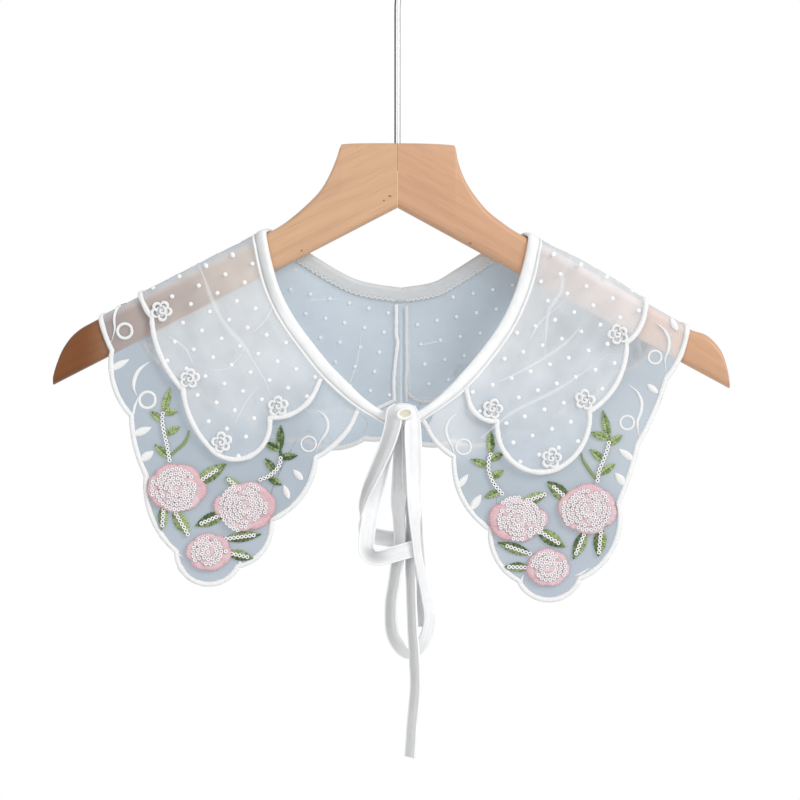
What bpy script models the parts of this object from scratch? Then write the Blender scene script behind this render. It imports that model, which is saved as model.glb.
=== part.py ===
"""A detachable lace collar in two organza layers, hanging on a wooden hanger.

Millimetres are used for every named size and turned into metres where a mesh is written.
+Z is up, the front of the collar faces -Y, and the origin is the inner top of the hook.
"""

from collections import namedtuple
from math import acos, asin, ceil, cos, exp, pi, radians, sin, sqrt, tan

import bmesh
import bpy
from mathutils import Vector

MM = 0.001
SEAM_GAP = 0.3
BINDING_GAP = 0.75

# Hook: a round wire bent like a question mark, its shank seated in the mitre of the hanger
WIRE_RADIUS = 1.7
HOOK_RADIUS = 24.0
HOOK_CENTRE_Z = WIRE_RADIUS - HOOK_RADIUS
HOOK_START_ANGLE = -50.0
HOOK_END_ANGLE = 205.0
SHANK_SEAT = 15.0

# Hanger: two flat arms, bowed forward, with well rounded edges
HANGER_TOP_Z = -147.2
HANGER_THICKNESS = 12.0
HANGER_EDGE_RADIUS = 4.0
HANGER_HALF_SPAN = 185.0
HANGER_BOW = 11.0
HANGER_APEX_Z = -182.2
MITRE_HALF_GAP = SEAM_GAP / 2

# Cloth: walls, and how close the under collar lies on the wood
WALL = 1.0
CORD_WALL = 1.8
CORD_WIDTH = 2.6
WOOD_CLEARANCE = 0.45
WRAP_FLAT = HANGER_THICKNESS / 2 - HANGER_EDGE_RADIUS
WRAP_RADIUS = HANGER_EDGE_RADIUS + WOOD_CLEARANCE
PANEL_DEPTH = WRAP_FLAT + WRAP_RADIUS
WRAP_STEPS = 3
TOP_LIFT = 1.45
TOP_FLARE = 2.2
TOP_FLARE_RUN = 25.0
SHOULDER_RUN = 63.0
SHOULDER_REACH = 24.0
RIB_STEP = 9.5
RIB_SPREAD = 0.024

# Standoff of the hanging panels from the plane of the hanger's faces: how far they stand off near
# the middle and out at the sides, how wide the middle is, and how far down each is reached
Stand = namedtuple("Stand", "middle side half_width middle_drop side_drop")
FRONT_STAND = Stand(13.0, 5.0, 55.0, 95.0, 110.0)
BACK_STAND = Stand(9.0, 3.0, 70.0, 60.0, 80.0)
SHOULDER_LINE_Z = -166.0
SHOULDER_LINE_SLOPE = 28.5
SHOULDER_LINE_BEND = 30.0

# Neck binding and tie, one folded satin tape
TAPE_WIDTH = 8.7
TAPE_HEIGHT = 2.7
TAPE_NARROWING = 2.7
TAPE_NARROWS_AT = 0.84
BINDING_TURN = 16.0
BINDING_BACK_STEPS = 9
BINDING_FRONT_STEPS = 13
RIBBON_THICKNESS = 0.9
RIBBON_STEPS = 2

# Relief sewn on the under collar and the top collar
SPRAY_GAP = 0.45
LEAF_THICKNESS = 0.9
EDGE_SHARE = 0.6
ROSE_BASE = SPRAY_GAP + LEAF_THICKNESS + 0.35
ROSE_HEIGHT = 3.2
STEM_HALF_WIDTH = 0.9
VINE_LEAF_HEIGHT = 0.92
VINE_LEAF_STEP = 0.03
VINE_LEAF_RISE = 0.02
ROSETTE_RADIUS = 5.0
ROSETTE_HEIGHT = 2.2
ROSETTE_INSET = 7.9
ROSETTE_GAP = 0.5

CENTRE_BACK_X = 2.0

# One row for each shoulder: where the neck seam crosses the fold, and the slope of the arm
Side = namedtuple("Side", "name sign fold_x fold_z slope lower_slope lift")
LEFT = Side("left", -1, 77.5, -199.2, 27.2, 27.4, 0.0)
RIGHT = Side("right", 1, 77.0, -201.6, 29.8, 28.7, 1.6)

# Upper outline of each arm outside its straight stretch, from the middle out
ArmPoint = namedtuple("ArmPoint", "x top")
ARM_OUTLINE = {
    "left": [
        ArmPoint(0.0, -147.2), ArmPoint(15.0, -147.2), ArmPoint(28.5, -147.6), ArmPoint(31.0, -149.0),
        ArmPoint(33.2, -155.5), ArmPoint(36.5, -163.5), ArmPoint(40.5, -170.8), ArmPoint(45.5, -177.0),
        ArmPoint(56.0, -186.6), ArmPoint(67.5, -194.6), ArmPoint(95.0, None), ArmPoint(130.0, None),
        ArmPoint(161.0, None), ArmPoint(173.5, -250.0), ArmPoint(180.5, -258.5), ArmPoint(184.5, -268.0),
        ArmPoint(186.0, -274.0),
    ],
    "right": [
        ArmPoint(0.0, -147.2), ArmPoint(15.0, -147.4), ArmPoint(29.0, -148.2), ArmPoint(31.5, -149.6),
        ArmPoint(33.0, -157.0), ArmPoint(36.0, -165.5), ArmPoint(40.5, -173.5), ArmPoint(48.5, -183.5),
        ArmPoint(57.5, -190.8), ArmPoint(67.0, -197.0), ArmPoint(95.0, None), ArmPoint(130.0, None),
        ArmPoint(157.0, None), ArmPoint(167.5, -252.0), ArmPoint(175.0, -260.0), ArmPoint(178.5, -270.0),
        ArmPoint(179.5, -277.5),
    ],
}

# Neck seam of each half, from the centre back over the shoulder to the knot
NeckPoint = namedtuple("NeckPoint", "face x z")
NECK = {
    "left": [
        NeckPoint(-1, CENTRE_BACK_X, -234.0), NeckPoint(-1, -20.5, -230.5), NeckPoint(-1, -36.0, -224.0),
        NeckPoint(-1, -56.5, -211.5), NeckPoint(-1, -67.0, -205.0), NeckPoint(0, -77.5, -199.2),
        NeckPoint(1, -76.5, -214.0), NeckPoint(1, -72.0, -229.5), NeckPoint(1, -64.0, -245.5),
        NeckPoint(1, -52.5, -261.5), NeckPoint(1, -40.0, -276.5), NeckPoint(1, -24.5, -290.0),
        NeckPoint(1, -8.5, -299.5),
    ],
    "right": [
        NeckPoint(-1, CENTRE_BACK_X, -234.0), NeckPoint(-1, 22.5, -230.5), NeckPoint(-1, 37.0, -222.5),
        NeckPoint(-1, 51.5, -213.5), NeckPoint(-1, 64.5, -207.5), NeckPoint(0, 77.0, -201.6),
        NeckPoint(1, 75.0, -221.5), NeckPoint(1, 65.5, -245.5), NeckPoint(1, 51.5, -266.0),
        NeckPoint(1, 35.5, -283.5), NeckPoint(1, 17.0, -296.5),
    ],
}

# Scalloped edges: a row for each point between two scallops, from the centre back to the front.
# face is -1 behind the hanger, 0 on the fold and 1 in front, bulge is how far the scallop that
# follows bows out, and share is the place on the neck seam that the point is joined to.
Cusp = namedtuple("Cusp", "face x z bulge share")
UNDER_EDGE = {
    "left": [
        Cusp(-1, 1.85, -308.0, 1.0, 0.0), Cusp(-1, -18.0, -309.5, 5.0, 0.07),
        Cusp(-1, -52.0, -310.0, 5.0, 0.17), Cusp(-1, -85.0, -297.0, 4.5, 0.26),
        Cusp(-1, -114.0, -277.0, 4.0, 0.32), Cusp(-1, -140.0, -256.5, 2.5, 0.35),
        Cusp(0, -160.5, -241.9, 1.0, 0.409), Cusp(1, -155.5, -261.0, 4.3, 0.475),
        Cusp(1, -145.0, -296.0, 1.8, 0.53), Cusp(1, -137.0, -328.0, 5.4, 0.60),
        Cusp(1, -120.5, -369.5, 14.0, 0.70), Cusp(1, -85.5, -378.0, 6.0, 0.79),
        Cusp(1, -67.0, -352.5, 5.8, 0.85), Cusp(1, -43.0, -319.0, 3.0, 0.90),
        Cusp(1, -23.0, -296.0, 0.0, 0.935),
    ],
    "right": [
        Cusp(-1, 2.15, -308.0, 3.5, 0.0), Cusp(-1, 30.0, -311.0, 5.0, 0.09),
        Cusp(-1, 62.0, -306.0, 5.0, 0.19), Cusp(-1, 92.0, -292.0, 4.5, 0.27),
        Cusp(-1, 118.0, -273.0, 4.0, 0.33), Cusp(-1, 139.0, -257.5, 2.0, 0.355),
        Cusp(0, 156.0, -246.8, 3.2, 0.417), Cusp(1, 146.5, -276.0, 1.2, 0.50),
        Cusp(1, 131.0, -311.5, 0.8, 0.58), Cusp(1, 120.5, -343.0, 8.4, 0.65),
        Cusp(1, 99.5, -384.5, 11.4, 0.745), Cusp(1, 64.5, -385.5, 4.7, 0.84),
        Cusp(1, 49.0, -357.5, 6.0, 0.89), Cusp(1, 29.5, -318.5, 1.5, 0.95),
        Cusp(1, 15.5, -303.5, 0.0, 0.985),
    ],
}
TOP_EDGE = {
    "left": [
        Cusp(-1, -1.5, -291.0, 4.0, 0.012), Cusp(-1, -33.0, -293.5, 4.5, 0.10),
        Cusp(-1, -64.0, -287.0, 4.5, 0.20), Cusp(-1, -95.0, -270.0, 4.0, 0.29),
        Cusp(-1, -122.0, -247.0, 2.0, 0.345), Cusp(0, -139.0, -230.8, 1.2, 0.409),
        Cusp(1, -134.0, -243.0, 3.8, 0.47), Cusp(1, -117.0, -282.0, 3.8, 0.55),
        Cusp(1, -98.5, -317.0, 12.0, 0.655), Cusp(1, -68.0, -297.5, 6.0, 0.75),
        Cusp(1, -43.5, -279.5, 0.0, 0.82),
    ],
    "right": [
        Cusp(-1, 5.0, -286.0, 4.5, 0.012), Cusp(-1, 38.0, -280.0, 4.5, 0.11),
        Cusp(-1, 68.0, -271.0, 4.0, 0.20), Cusp(-1, 97.0, -258.0, 3.5, 0.29),
        Cusp(-1, 120.0, -243.5, 1.5, 0.35), Cusp(0, 132.0, -233.1, 4.6, 0.417),
        Cusp(1, 125.0, -257.0, 5.5, 0.49), Cusp(1, 105.0, -294.0, 6.0, 0.59),
        Cusp(1, 85.5, -326.0, 11.7, 0.695), Cusp(1, 53.0, -299.5, 4.5, 0.81),
        Cusp(1, 38.5, -286.5, 0.0, 0.88),
    ],
}
UNDER_STATIONS = (0.0, 0.28, 0.55, 0.8)
TOP_STATIONS = (0.0, 0.3, 0.65)

# Roses, leaves and vines of each front, in the plane of the panel
Rose = namedtuple("Rose", "x z half_width half_height turn")
ROSES = {
    "left": [
        Rose(-119.0, -334.5, 15.8, 13.6, 0.2), Rose(-82.5, -344.5, 16.1, 13.9, 1.4),
        Rose(-102.0, -369.0, 12.3, 10.4, 0.8),
    ],
    "right": [
        Rose(65.0, -351.5, 15.8, 12.5, 0.5), Rose(102.5, -346.0, 15.8, 13.9, 1.1),
        Rose(81.0, -377.5, 11.7, 10.4, 0.1),
    ],
}
Leaf = namedtuple("Leaf", "x z tip_x tip_z width")
LEAVES = {
    "left": [
        Leaf(-108.5, -332.0, -92.5, -321.5, 7.6), Leaf(-84.5, -335.5, -93.0, -328.5, 5.2),
        Leaf(-126.0, -344.0, -127.0, -357.0, 5.6), Leaf(-120.5, -346.5, -112.5, -360.5, 7.6),
        Leaf(-94.0, -348.5, -109.0, -355.0, 7.2), Leaf(-92.5, -362.0, -73.5, -359.5, 6.0),
        Leaf(-91.5, -369.5, -78.0, -372.5, 6.0),
    ],
    "right": [
        Leaf(67.5, -342.5, 81.0, -337.5, 6.2), Leaf(92.5, -341.0, 81.0, -331.0, 7.6),
        Leaf(76.0, -357.5, 90.5, -366.5, 7.6), Leaf(101.5, -358.0, 95.0, -373.0, 6.8),
        Leaf(110.0, -356.5, 108.5, -371.5, 7.4), Leaf(71.5, -370.0, 54.0, -364.0, 6.0),
        Leaf(71.0, -377.5, 61.0, -376.5, 5.0),
    ],
}
VinePoint = namedtuple("VinePoint", "x z")
VINES = {
    "left_outer": [
        VinePoint(-123.0, -319.5), VinePoint(-124.3, -312.0), VinePoint(-126.2, -303.5),
        VinePoint(-127.0, -296.0), VinePoint(-124.8, -289.0), VinePoint(-123.0, -280.5),
    ],
    "left_inner": [
        VinePoint(-74.0, -330.0), VinePoint(-68.5, -327.5), VinePoint(-64.0, -322.5),
        VinePoint(-63.0, -316.5), VinePoint(-64.2, -310.5), VinePoint(-63.0, -300.5),
    ],
    "right_inner": [
        VinePoint(56.5, -337.5), VinePoint(52.0, -332.0), VinePoint(49.3, -325.0),
        VinePoint(49.5, -318.5), VinePoint(51.5, -312.5), VinePoint(50.3, -303.5),
    ],
    "right_outer": [
        VinePoint(108.0, -330.5), VinePoint(109.0, -325.0), VinePoint(111.8, -318.0),
        VinePoint(114.0, -311.0), VinePoint(113.8, -304.0), VinePoint(111.0, -292.5),
    ],
}
VINE_LEAVES = {
    "left_outer": [
        Leaf(-127.0, -298.5, -133.5, -293.0, 3.4), Leaf(-126.8, -293.5, -118.5, -293.5, 3.4),
        Leaf(-125.5, -305.5, -117.5, -301.5, 3.6), Leaf(-123.5, -318.0, -131.0, -311.0, 3.6),
        Leaf(-122.5, -318.5, -112.5, -303.5, 4.2),
    ],
    "left_inner": [
        Leaf(-63.5, -314.0, -72.0, -310.0, 3.6), Leaf(-63.5, -318.0, -54.0, -317.0, 3.6),
        Leaf(-66.0, -326.0, -71.5, -318.5, 3.6), Leaf(-70.0, -328.5, -62.5, -333.0, 3.4),
    ],
    "right_inner": [
        Leaf(49.5, -323.0, 39.5, -319.0, 3.6), Leaf(50.0, -319.5, 57.5, -315.5, 3.4),
        Leaf(50.5, -329.0, 57.5, -325.0, 3.6), Leaf(55.0, -336.5, 47.0, -339.5, 3.6),
    ],
    "right_outer": [
        Leaf(113.5, -308.0, 104.5, -304.5, 3.6), Leaf(114.0, -311.0, 121.5, -306.0, 3.6),
        Leaf(111.5, -320.0, 104.0, -313.5, 3.6), Leaf(109.5, -327.0, 117.5, -321.5, 3.6),
        Leaf(107.5, -330.0, 99.5, -316.0, 4.2),
    ],
}
BUD_HALF_WIDTH = 2.3

# Bow: a row for each place on a strand, width across it, the way its face looks (0 to the front,
# 90 to the right) and how far that face tips down
Strand = namedtuple("Strand", "x y z width facing tip")
KNOT_CENTRE = (3.0, -22.2, -293.5)
KNOT_SIZE = (8.2, 6.8, 7.2)
KNOT_SQUARENESS = 3.2
KNOT_FLARE = 0.10
KNOT_DENT = 0.10
KNOT_DENT_AT = (0.1, 0.35)
KNOT_DENT_SPREAD = 0.09
KNOT_FLOOR_Z = -300.2
STRAND_TOP_Z = KNOT_FLOOR_Z - SEAM_GAP
BOW = {
    "bow_short_loop": [
        Strand(0.5, -27.2, STRAND_TOP_Z, 5.5, 0, 0), Strand(-3.5, -28.0, -311.0, 7.6, 0, 0),
        Strand(-9.0, -28.8, -326.0, 8.7, 0, 0), Strand(-14.0, -29.6, -342.0, 8.7, 0, 0),
        Strand(-16.8, -30.6, -357.0, 8.7, 0, 0), Strand(-12.5, -31.0, -369.0, 8.7, 0, 0),
        Strand(-3.0, -31.2, -371.0, 8.7, 0, 0), Strand(7.2, -31.2, -367.5, 8.7, 0, 0),
        Strand(11.0, -29.6, -366.0, 8.7, 45, 0), Strand(12.5, -26.2, -365.0, 8.7, 90, 0),
        Strand(11.0, -22.8, -364.0, 8.7, 135, 0), Strand(7.2, -21.2, -363.2, 8.7, 180, 0),
        Strand(-4.0, -21.2, -361.5, 8.7, 180, 0), Strand(-15.0, -21.2, -360.0, 8.7, 180, 0),
        Strand(-20.0, -21.0, -350.0, 8.7, 180, 0), Strand(-16.5, -20.8, -335.0, 8.7, 180, 0),
        Strand(-10.5, -20.4, -319.0, 8.7, 180, 0), Strand(-5.0, -20.2, -308.0, 7.6, 180, 0),
        Strand(-0.5, -20.0, STRAND_TOP_Z, 5.0, 180, 0),
    ],
    "bow_long_loop": [
        Strand(2.5, -21.8, STRAND_TOP_Z, 6.0, 0, 0), Strand(1.8, -22.0, -312.0, 7.4, 0, 0),
        Strand(0.9, -22.4, -330.0, 8.4, 0, 0), Strand(0.2, -24.0, -341.0, 8.7, -22, 0),
        Strand(0.8, -25.2, -351.0, 8.7, -44, 0), Strand(1.2, -25.8, -366.0, 8.7, -46, 0),
        Strand(-1.5, -25.5, -382.0, 8.7, -46, 5),
        Strand(-3.6, -24.5, -399.0, 8.7, -45, 10), Strand(-1.8, -23.8, -414.0, 8.7, -35, 28),
        Strand(6.0, -23.6, -422.5, 8.7, 0, 48), Strand(14.0, -24.2, -416.0, 8.7, 35, 28),
        Strand(17.6, -25.2, -404.0, 8.7, 48, 10), Strand(15.6, -27.6, -388.0, 8.7, 60, 0),
        Strand(13.4, -30.2, -372.0, 8.7, 64, 0), Strand(13.2, -30.6, -360.0, 8.7, 62, 0),
        Strand(11.4, -31.8, -343.0, 8.7, 20, 0), Strand(9.0, -29.6, -322.0, 8.0, 5, 0),
        Strand(6.0, -25.4, STRAND_TOP_Z, 5.5, 0, 0),
    ],
    "ribbon_tail_long": [
        Strand(5.0, -23.6, STRAND_TOP_Z, 6.0, 0, 0), Strand(6.4, -24.2, -314.0, 7.4, 0, 0),
        Strand(8.0, -26.0, -330.0, 8.4, -14, 0), Strand(9.0, -25.8, -341.0, 8.7, -28, 0),
        Strand(8.2, -25.6, -351.0, 8.7, -46, 0), Strand(7.2, -25.7, -366.0, 8.7, -46, 0),
        Strand(8.0, -28.5, -386.0, 8.7, -46, 0),
        Strand(8.6, -31.4, -406.0, 8.7, -44, 0), Strand(9.4, -32.4, -426.0, 8.7, -42, 0),
        Strand(9.4, -31.6, -442.0, 8.7, -42, 0), Strand(8.0, -30.2, -460.0, 8.7, -46, 0),
        Strand(6.8, -29.2, -478.5, 8.7, -48, 0),
    ],
    "ribbon_tail_short": [
        Strand(6.2, -18.2, STRAND_TOP_Z, 5.0, 0, 0), Strand(8.8, -18.2, -318.0, 6.8, 0, 0),
        Strand(10.6, -18.4, -342.0, 8.0, 0, 0), Strand(11.4, -18.6, -362.0, 8.4, 0, 0),
        Strand(12.0, -20.0, -380.0, 8.6, 25, 0), Strand(12.6, -22.0, -396.0, 8.7, 55, 0),
        Strand(12.6, -23.0, -409.0, 8.7, 60, 0),
    ],
}

# Finish of each material: base colour, roughness, metallic
COLOURS = {
    "organza": ((0.62, 0.68, 0.76, 1.0), 0.45, 0.0),
    "dotted_organza": ((0.74, 0.79, 0.84, 1.0), 0.45, 0.0),
    "satin": ((0.92, 0.92, 0.91, 1.0), 0.35, 0.0),
    "rose": ((0.86, 0.56, 0.62, 1.0), 0.55, 0.0),
    "leaf": ((0.22, 0.38, 0.13, 1.0), 0.55, 0.0),
    "thread": ((0.93, 0.93, 0.92, 1.0), 0.5, 0.0),
    "wood": ((0.72, 0.50, 0.31, 1.0), 0.5, 0.0),
    "steel": ((0.70, 0.70, 0.71, 1.0), 0.25, 1.0),
}


def ease(value):
    """Smooth step from 0 to 1."""
    value = max(0.0, min(1.0, value))
    return value * value * (3.0 - 2.0 * value)


def catmull(rows, steps):
    """Points on a smooth curve through rows of equal length, steps to a span."""
    points = []
    last = len(rows) - 1
    for index in range(last):
        before = rows[max(index - 1, 0)]
        start = rows[index]
        end = rows[index + 1]
        after = rows[min(index + 2, last)]
        for step in range(steps):
            t = step / steps
            points.append(tuple(
                0.5 * (2 * b + (c - a) * t + (2 * a - 5 * b + 4 * c - d) * t * t
                       + (3 * b - a - 3 * c + d) * t ** 3)
                for a, b, c, d in zip(before, start, end, after)))
    points.append(tuple(rows[last]))
    return points


def hanger_bow(x):
    """How far the hanger curves to the front at x."""
    return -HANGER_BOW * (x / HANGER_HALF_SPAN) ** 2


def standoff(x, z, face):
    """How far a hanging panel stands off the hanger's face plane."""
    stand = FRONT_STAND if face > 0 else BACK_STAND
    slope = tan(radians(SHOULDER_LINE_SLOPE))
    drop = max(0.0, SHOULDER_LINE_Z - slope * sqrt(x * x + SHOULDER_LINE_BEND ** 2) - z)
    centre = exp(-(x / stand.half_width) ** 2)
    middle = stand.middle * ease(drop / stand.middle_drop) * centre
    return middle + stand.side * ease(drop / stand.side_drop) * (1 - centre)


def fold_axes(side):
    """Start of the fold line, its direction out along the arm, and the direction across it."""
    slope = radians(side.slope)
    start = (side.sign * side.fold_x, side.fold_z)
    along = (side.sign * cos(slope), -sin(slope))
    across = (-side.sign * sin(slope), -cos(slope))
    return start, along, across


def fold_drop(side, x, z):
    """Distance of a place below the fold line."""
    start, _, across = fold_axes(side)
    return (x - start[0]) * across[0] + (z - start[1]) * across[1]


def to_sheet(side, face, x, z):
    """Unroll a place seen from the front: run along the fold, and reach from it over the arm."""
    start, along, _ = fold_axes(side)
    run = (x - start[0]) * along[0] + (z - start[1]) * along[1]
    if face == 0:
        return run, 0.0
    drop = max(0.0, fold_drop(side, x, z))
    if drop < WRAP_RADIUS:
        reach = WRAP_FLAT + WRAP_RADIUS * acos(1.0 - drop / WRAP_RADIUS)
    else:
        reach = WRAP_FLAT + WRAP_RADIUS * pi / 2 + drop - WRAP_RADIUS
    return run, face * reach


def place(side, run, reach, lift):
    """The point of the draped cloth at run and reach, moved out of the wood by lift."""
    start, along, across = fold_axes(side)
    face = 1 if reach >= 0 else -1
    reach = abs(reach)
    quarter = WRAP_RADIUS * pi / 2
    if reach < WRAP_FLAT:
        drop = -lift
        depth = reach
    elif reach < WRAP_FLAT + quarter:
        turn = (reach - WRAP_FLAT) / WRAP_RADIUS
        drop = WRAP_RADIUS - (WRAP_RADIUS + lift) * cos(turn)
        depth = WRAP_FLAT + (WRAP_RADIUS + lift) * sin(turn)
    else:
        drop = WRAP_RADIUS + reach - WRAP_FLAT - quarter
        depth = PANEL_DEPTH + lift
    x = start[0] + run * along[0] + drop * across[0]
    z = start[1] + run * along[1] + drop * across[1]
    y = hanger_bow(x) - face * (depth + standoff(x, z, face))
    return Vector((x, y, z)) * MM


def on_front(x, z, lift):
    """A point in front of the under collar's outer face."""
    y = hanger_bow(x) - PANEL_DEPTH - WALL - lift - standoff(x, z, 1)
    return Vector((x, y, z)) * MM


def arc(start, end, bulge, steps):
    """Points from start to just before end on an arc that bows out by bulge."""
    run = end[0] - start[0]
    reach = end[1] - start[1]
    chord = sqrt(run * run + reach * reach)
    half = chord / 2
    out = (reach / chord, -run / chord)
    points = []
    for step in range(steps):
        share = step / steps
        if bulge < 0.05:
            along = chord * share
            rise = 0.0
        else:
            radius = (half * half + bulge * bulge) / (2 * bulge)
            angle = asin(min(1.0, half / radius)) * (2 * share - 1)
            along = half + radius * sin(angle)
            rise = radius * cos(angle) - (radius - bulge)
        points.append((start[0] + run * along / chord + out[0] * rise,
                       start[1] + reach * along / chord + out[1] * rise))
    return points


def arc_steps(start, end, bulge):
    """How many steps a scallop of this size takes."""
    chord = sqrt((end[0] - start[0]) ** 2 + (end[1] - start[1]) ** 2)
    return max(2, ceil((chord + 1.6 * bulge) / RIB_STEP))


class NeckSeam:
    """The neck seam of one half, read by its share of length or where it crosses a reach."""

    def __init__(self, side):
        rows = [to_sheet(side, row.face, row.x, row.z) for row in NECK[side.name]]
        self.points = catmull(rows, 8)
        self.lengths = [0.0]
        for a, b in zip(self.points, self.points[1:]):
            self.lengths.append(self.lengths[-1] + sqrt((b[0] - a[0]) ** 2 + (b[1] - a[1]) ** 2))

    def at_share(self, share):
        target = share * self.lengths[-1]
        for index in range(1, len(self.points)):
            if self.lengths[index] >= target or index == len(self.points) - 1:
                span = self.lengths[index] - self.lengths[index - 1]
                part = (target - self.lengths[index - 1]) / span
                return blend(self.points[index - 1], self.points[index], part)

    def share_at_reach(self, reach):
        for index in range(1, len(self.points)):
            low = self.points[index - 1][1]
            high = self.points[index][1]
            if low <= reach <= high:
                part = (reach - low) / (high - low)
                length = self.lengths[index - 1] + part * (self.lengths[index] - self.lengths[index - 1])
                return length / self.lengths[-1]
        return 1.0

    def inward(self, share):
        """Step in the sheet towards the neck opening, along the fold where the tape turns over."""
        a = self.at_share(max(0.0, share - 0.01))
        b = self.at_share(min(1.0, share + 0.01))
        run = b[0] - a[0]
        reach = b[1] - a[1]
        size = sqrt(run * run + reach * reach)
        turned = WRAP_FLAT + WRAP_RADIUS * pi / 2
        free = ease((abs(self.at_share(share)[1]) - turned) / BINDING_TURN)
        return blend((-1.0, 0.0), (-reach / size, run / size), free)


def blend(a, b, part):
    return tuple(p + (q - p) * part for p, q in zip(a, b))


def wrap_reaches():
    """Reaches at which the cloth gets a rib where it turns over the arm."""
    quarter = WRAP_RADIUS * pi / 2
    turned = [WRAP_FLAT + quarter * step / WRAP_STEPS for step in range(WRAP_STEPS + 1)]
    return [-reach for reach in reversed(turned)] + [0.0] + turned


def edge_curve(side, cusps):
    """The scalloped edge in the sheet, as points with their share of the neck seam."""
    rows = [to_sheet(side, cusp.face, cusp.x, cusp.z) for cusp in cusps]
    curve = []
    for index in range(len(cusps) - 1):
        steps = arc_steps(rows[index], rows[index + 1], cusps[index].bulge)
        for step, point in enumerate(arc(rows[index], rows[index + 1], cusps[index].bulge, steps)):
            share = cusps[index].share + (cusps[index + 1].share - cusps[index].share) * step / steps
            curve.append((point, share))
    curve.append((rows[-1], cusps[-1].share))
    return curve


def collar_ribs(side, cusps):
    """Ribs of one collar half from the neck seam to the edge, dense where it turns over the arm."""
    seam = NeckSeam(side)
    reaches = wrap_reaches()
    curve = edge_curve(side, cusps)
    back = [(point, share) for point, share in curve if point[1] < reaches[0] - 1.5]
    front = [(point, share) for point, share in curve if point[1] > reaches[-1] + 1.5]
    back = spread(back[::-1], seam.share_at_reach(reaches[0]), -1)[::-1]
    front = spread(front, seam.share_at_reach(reaches[-1]), 1)
    middle = []
    for reach in reaches:
        for (a, _), (b, _) in zip(curve, curve[1:]):
            if a[1] <= reach <= b[1] and a[1] < b[1]:
                edge = blend(a, b, (reach - a[1]) / (b[1] - a[1]))
                middle.append((seam.at_share(seam.share_at_reach(reach)), edge))
                break
    back = [(seam.at_share(share), point) for point, share in back]
    front = [(seam.at_share(share), point) for point, share in front]
    return back + middle + front


def spread(points, start, direction):
    """Share out the neck places next to the fold evenly, so that no two ribs cross there."""
    near = [share for _, share in points if direction * (share - start) < RIB_SPREAD]
    count = len(near)
    if count == len(points):
        return points
    end = points[count][1]
    moved = [(point, start + (end - start) * (index + 1) / (count + 1))
             for index, (point, _) in enumerate(points[:count])]
    return moved + points[count:]


def station_points(rib, stations):
    """Places along one rib, with the last two close to the edge for its cord."""
    neck, edge = rib
    length = sqrt((edge[0] - neck[0]) ** 2 + (edge[1] - neck[1]) ** 2)
    cord = min(CORD_WIDTH / length, 0.3)
    shares = [share * (1.0 - cord) for share in stations] + [1.0 - cord, 1.0 - cord / 2, 1.0]
    return [(blend(neck, edge, share), share * length) for share in shares]


def top_lift(side, reach, distance):
    """How far the inner face of the top collar lies out from the under collar's inner face."""
    drop = max(0.0, abs(reach) - WRAP_FLAT - WRAP_RADIUS * pi / 2)
    flare = TOP_FLARE * ease(distance / TOP_FLARE_RUN) * ease(drop / TOP_FLARE_RUN)
    shoulder = side.lift * sin(pi * min(distance / SHOULDER_RUN, 1.0)) * exp(-(reach / SHOULDER_REACH) ** 2)
    return TOP_LIFT + flare + shoulder


def under_lift(side, reach, distance):
    return 0.0


def material(name):
    if name in bpy.data.materials:
        return bpy.data.materials[name]
    colour, roughness, metallic = COLOURS[name]
    made = bpy.data.materials.new(name)
    made.use_nodes = True
    made.diffuse_color = colour
    shader = made.node_tree.nodes["Principled BSDF"]
    shader.inputs["Base Color"].default_value = colour
    shader.inputs["Roughness"].default_value = roughness
    shader.inputs["Metallic"].default_value = metallic
    return made


def new_object(name, mesh, finish, collection):
    obj = bpy.data.objects.new(name, mesh)
    collection.objects.link(obj)
    if finish:
        mesh.materials.append(material(finish))
    return obj


def shade(mesh, angle=40.0):
    mesh.shade_smooth()
    mesh.set_sharp_from_angle(angle=radians(angle))


def collar_half(name, side, cusps, stations, lift, finish, collection):
    """One collar half: an open grid of ribs and stations, made a wall by Solidify."""
    bm = bmesh.new()
    grid = []
    cord_rows = []
    for rib in collar_ribs(side, cusps):
        row = []
        for (run, reach), distance in station_points(rib, stations):
            row.append(bm.verts.new(place(side, run, reach, lift(side, reach, distance))))
        cord_rows.append(row[-2:])
        grid.append(row)
    for a, b in zip(grid, grid[1:]):
        for index in range(len(a) - 1):
            bm.faces.new((a[index], a[index + 1], b[index + 1], b[index]))
    if side.sign > 0:
        bmesh.ops.reverse_faces(bm, faces=bm.faces)
    bm.verts.index_update()
    corded = [vert.index for row in cord_rows for vert in row]
    mesh = bpy.data.meshes.new(name)
    bm.to_mesh(mesh)
    bm.free()
    obj = new_object(name, mesh, finish, collection)
    group = obj.vertex_groups.new(name="cord")
    group.add(corded, 1.0, "REPLACE")
    wall = obj.modifiers.new("wall", "SOLIDIFY")
    wall.thickness = CORD_WALL * MM
    wall.offset = 1.0
    wall.vertex_group = "cord"
    wall.thickness_vertex_group = WALL / CORD_WALL
    shade(mesh)
    return obj


def loft(name, rings, finish, collection):
    """A closed body through rings of equal count, with its two ends filled."""
    bm = bmesh.new()
    rows = [[bm.verts.new(point) for point in ring] for ring in rings]
    count = len(rows[0])
    for a, b in zip(rows, rows[1:]):
        for index in range(count):
            following = (index + 1) % count
            bm.faces.new((a[index], a[following], b[following], b[index]))
    bm.faces.new(rows[0][::-1])
    bm.faces.new(rows[-1])
    bmesh.ops.recalc_face_normals(bm, faces=bm.faces)
    mesh = bpy.data.meshes.new(name)
    bm.to_mesh(mesh)
    bm.free()
    shade(mesh)
    return new_object(name, mesh, finish, collection)


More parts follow.
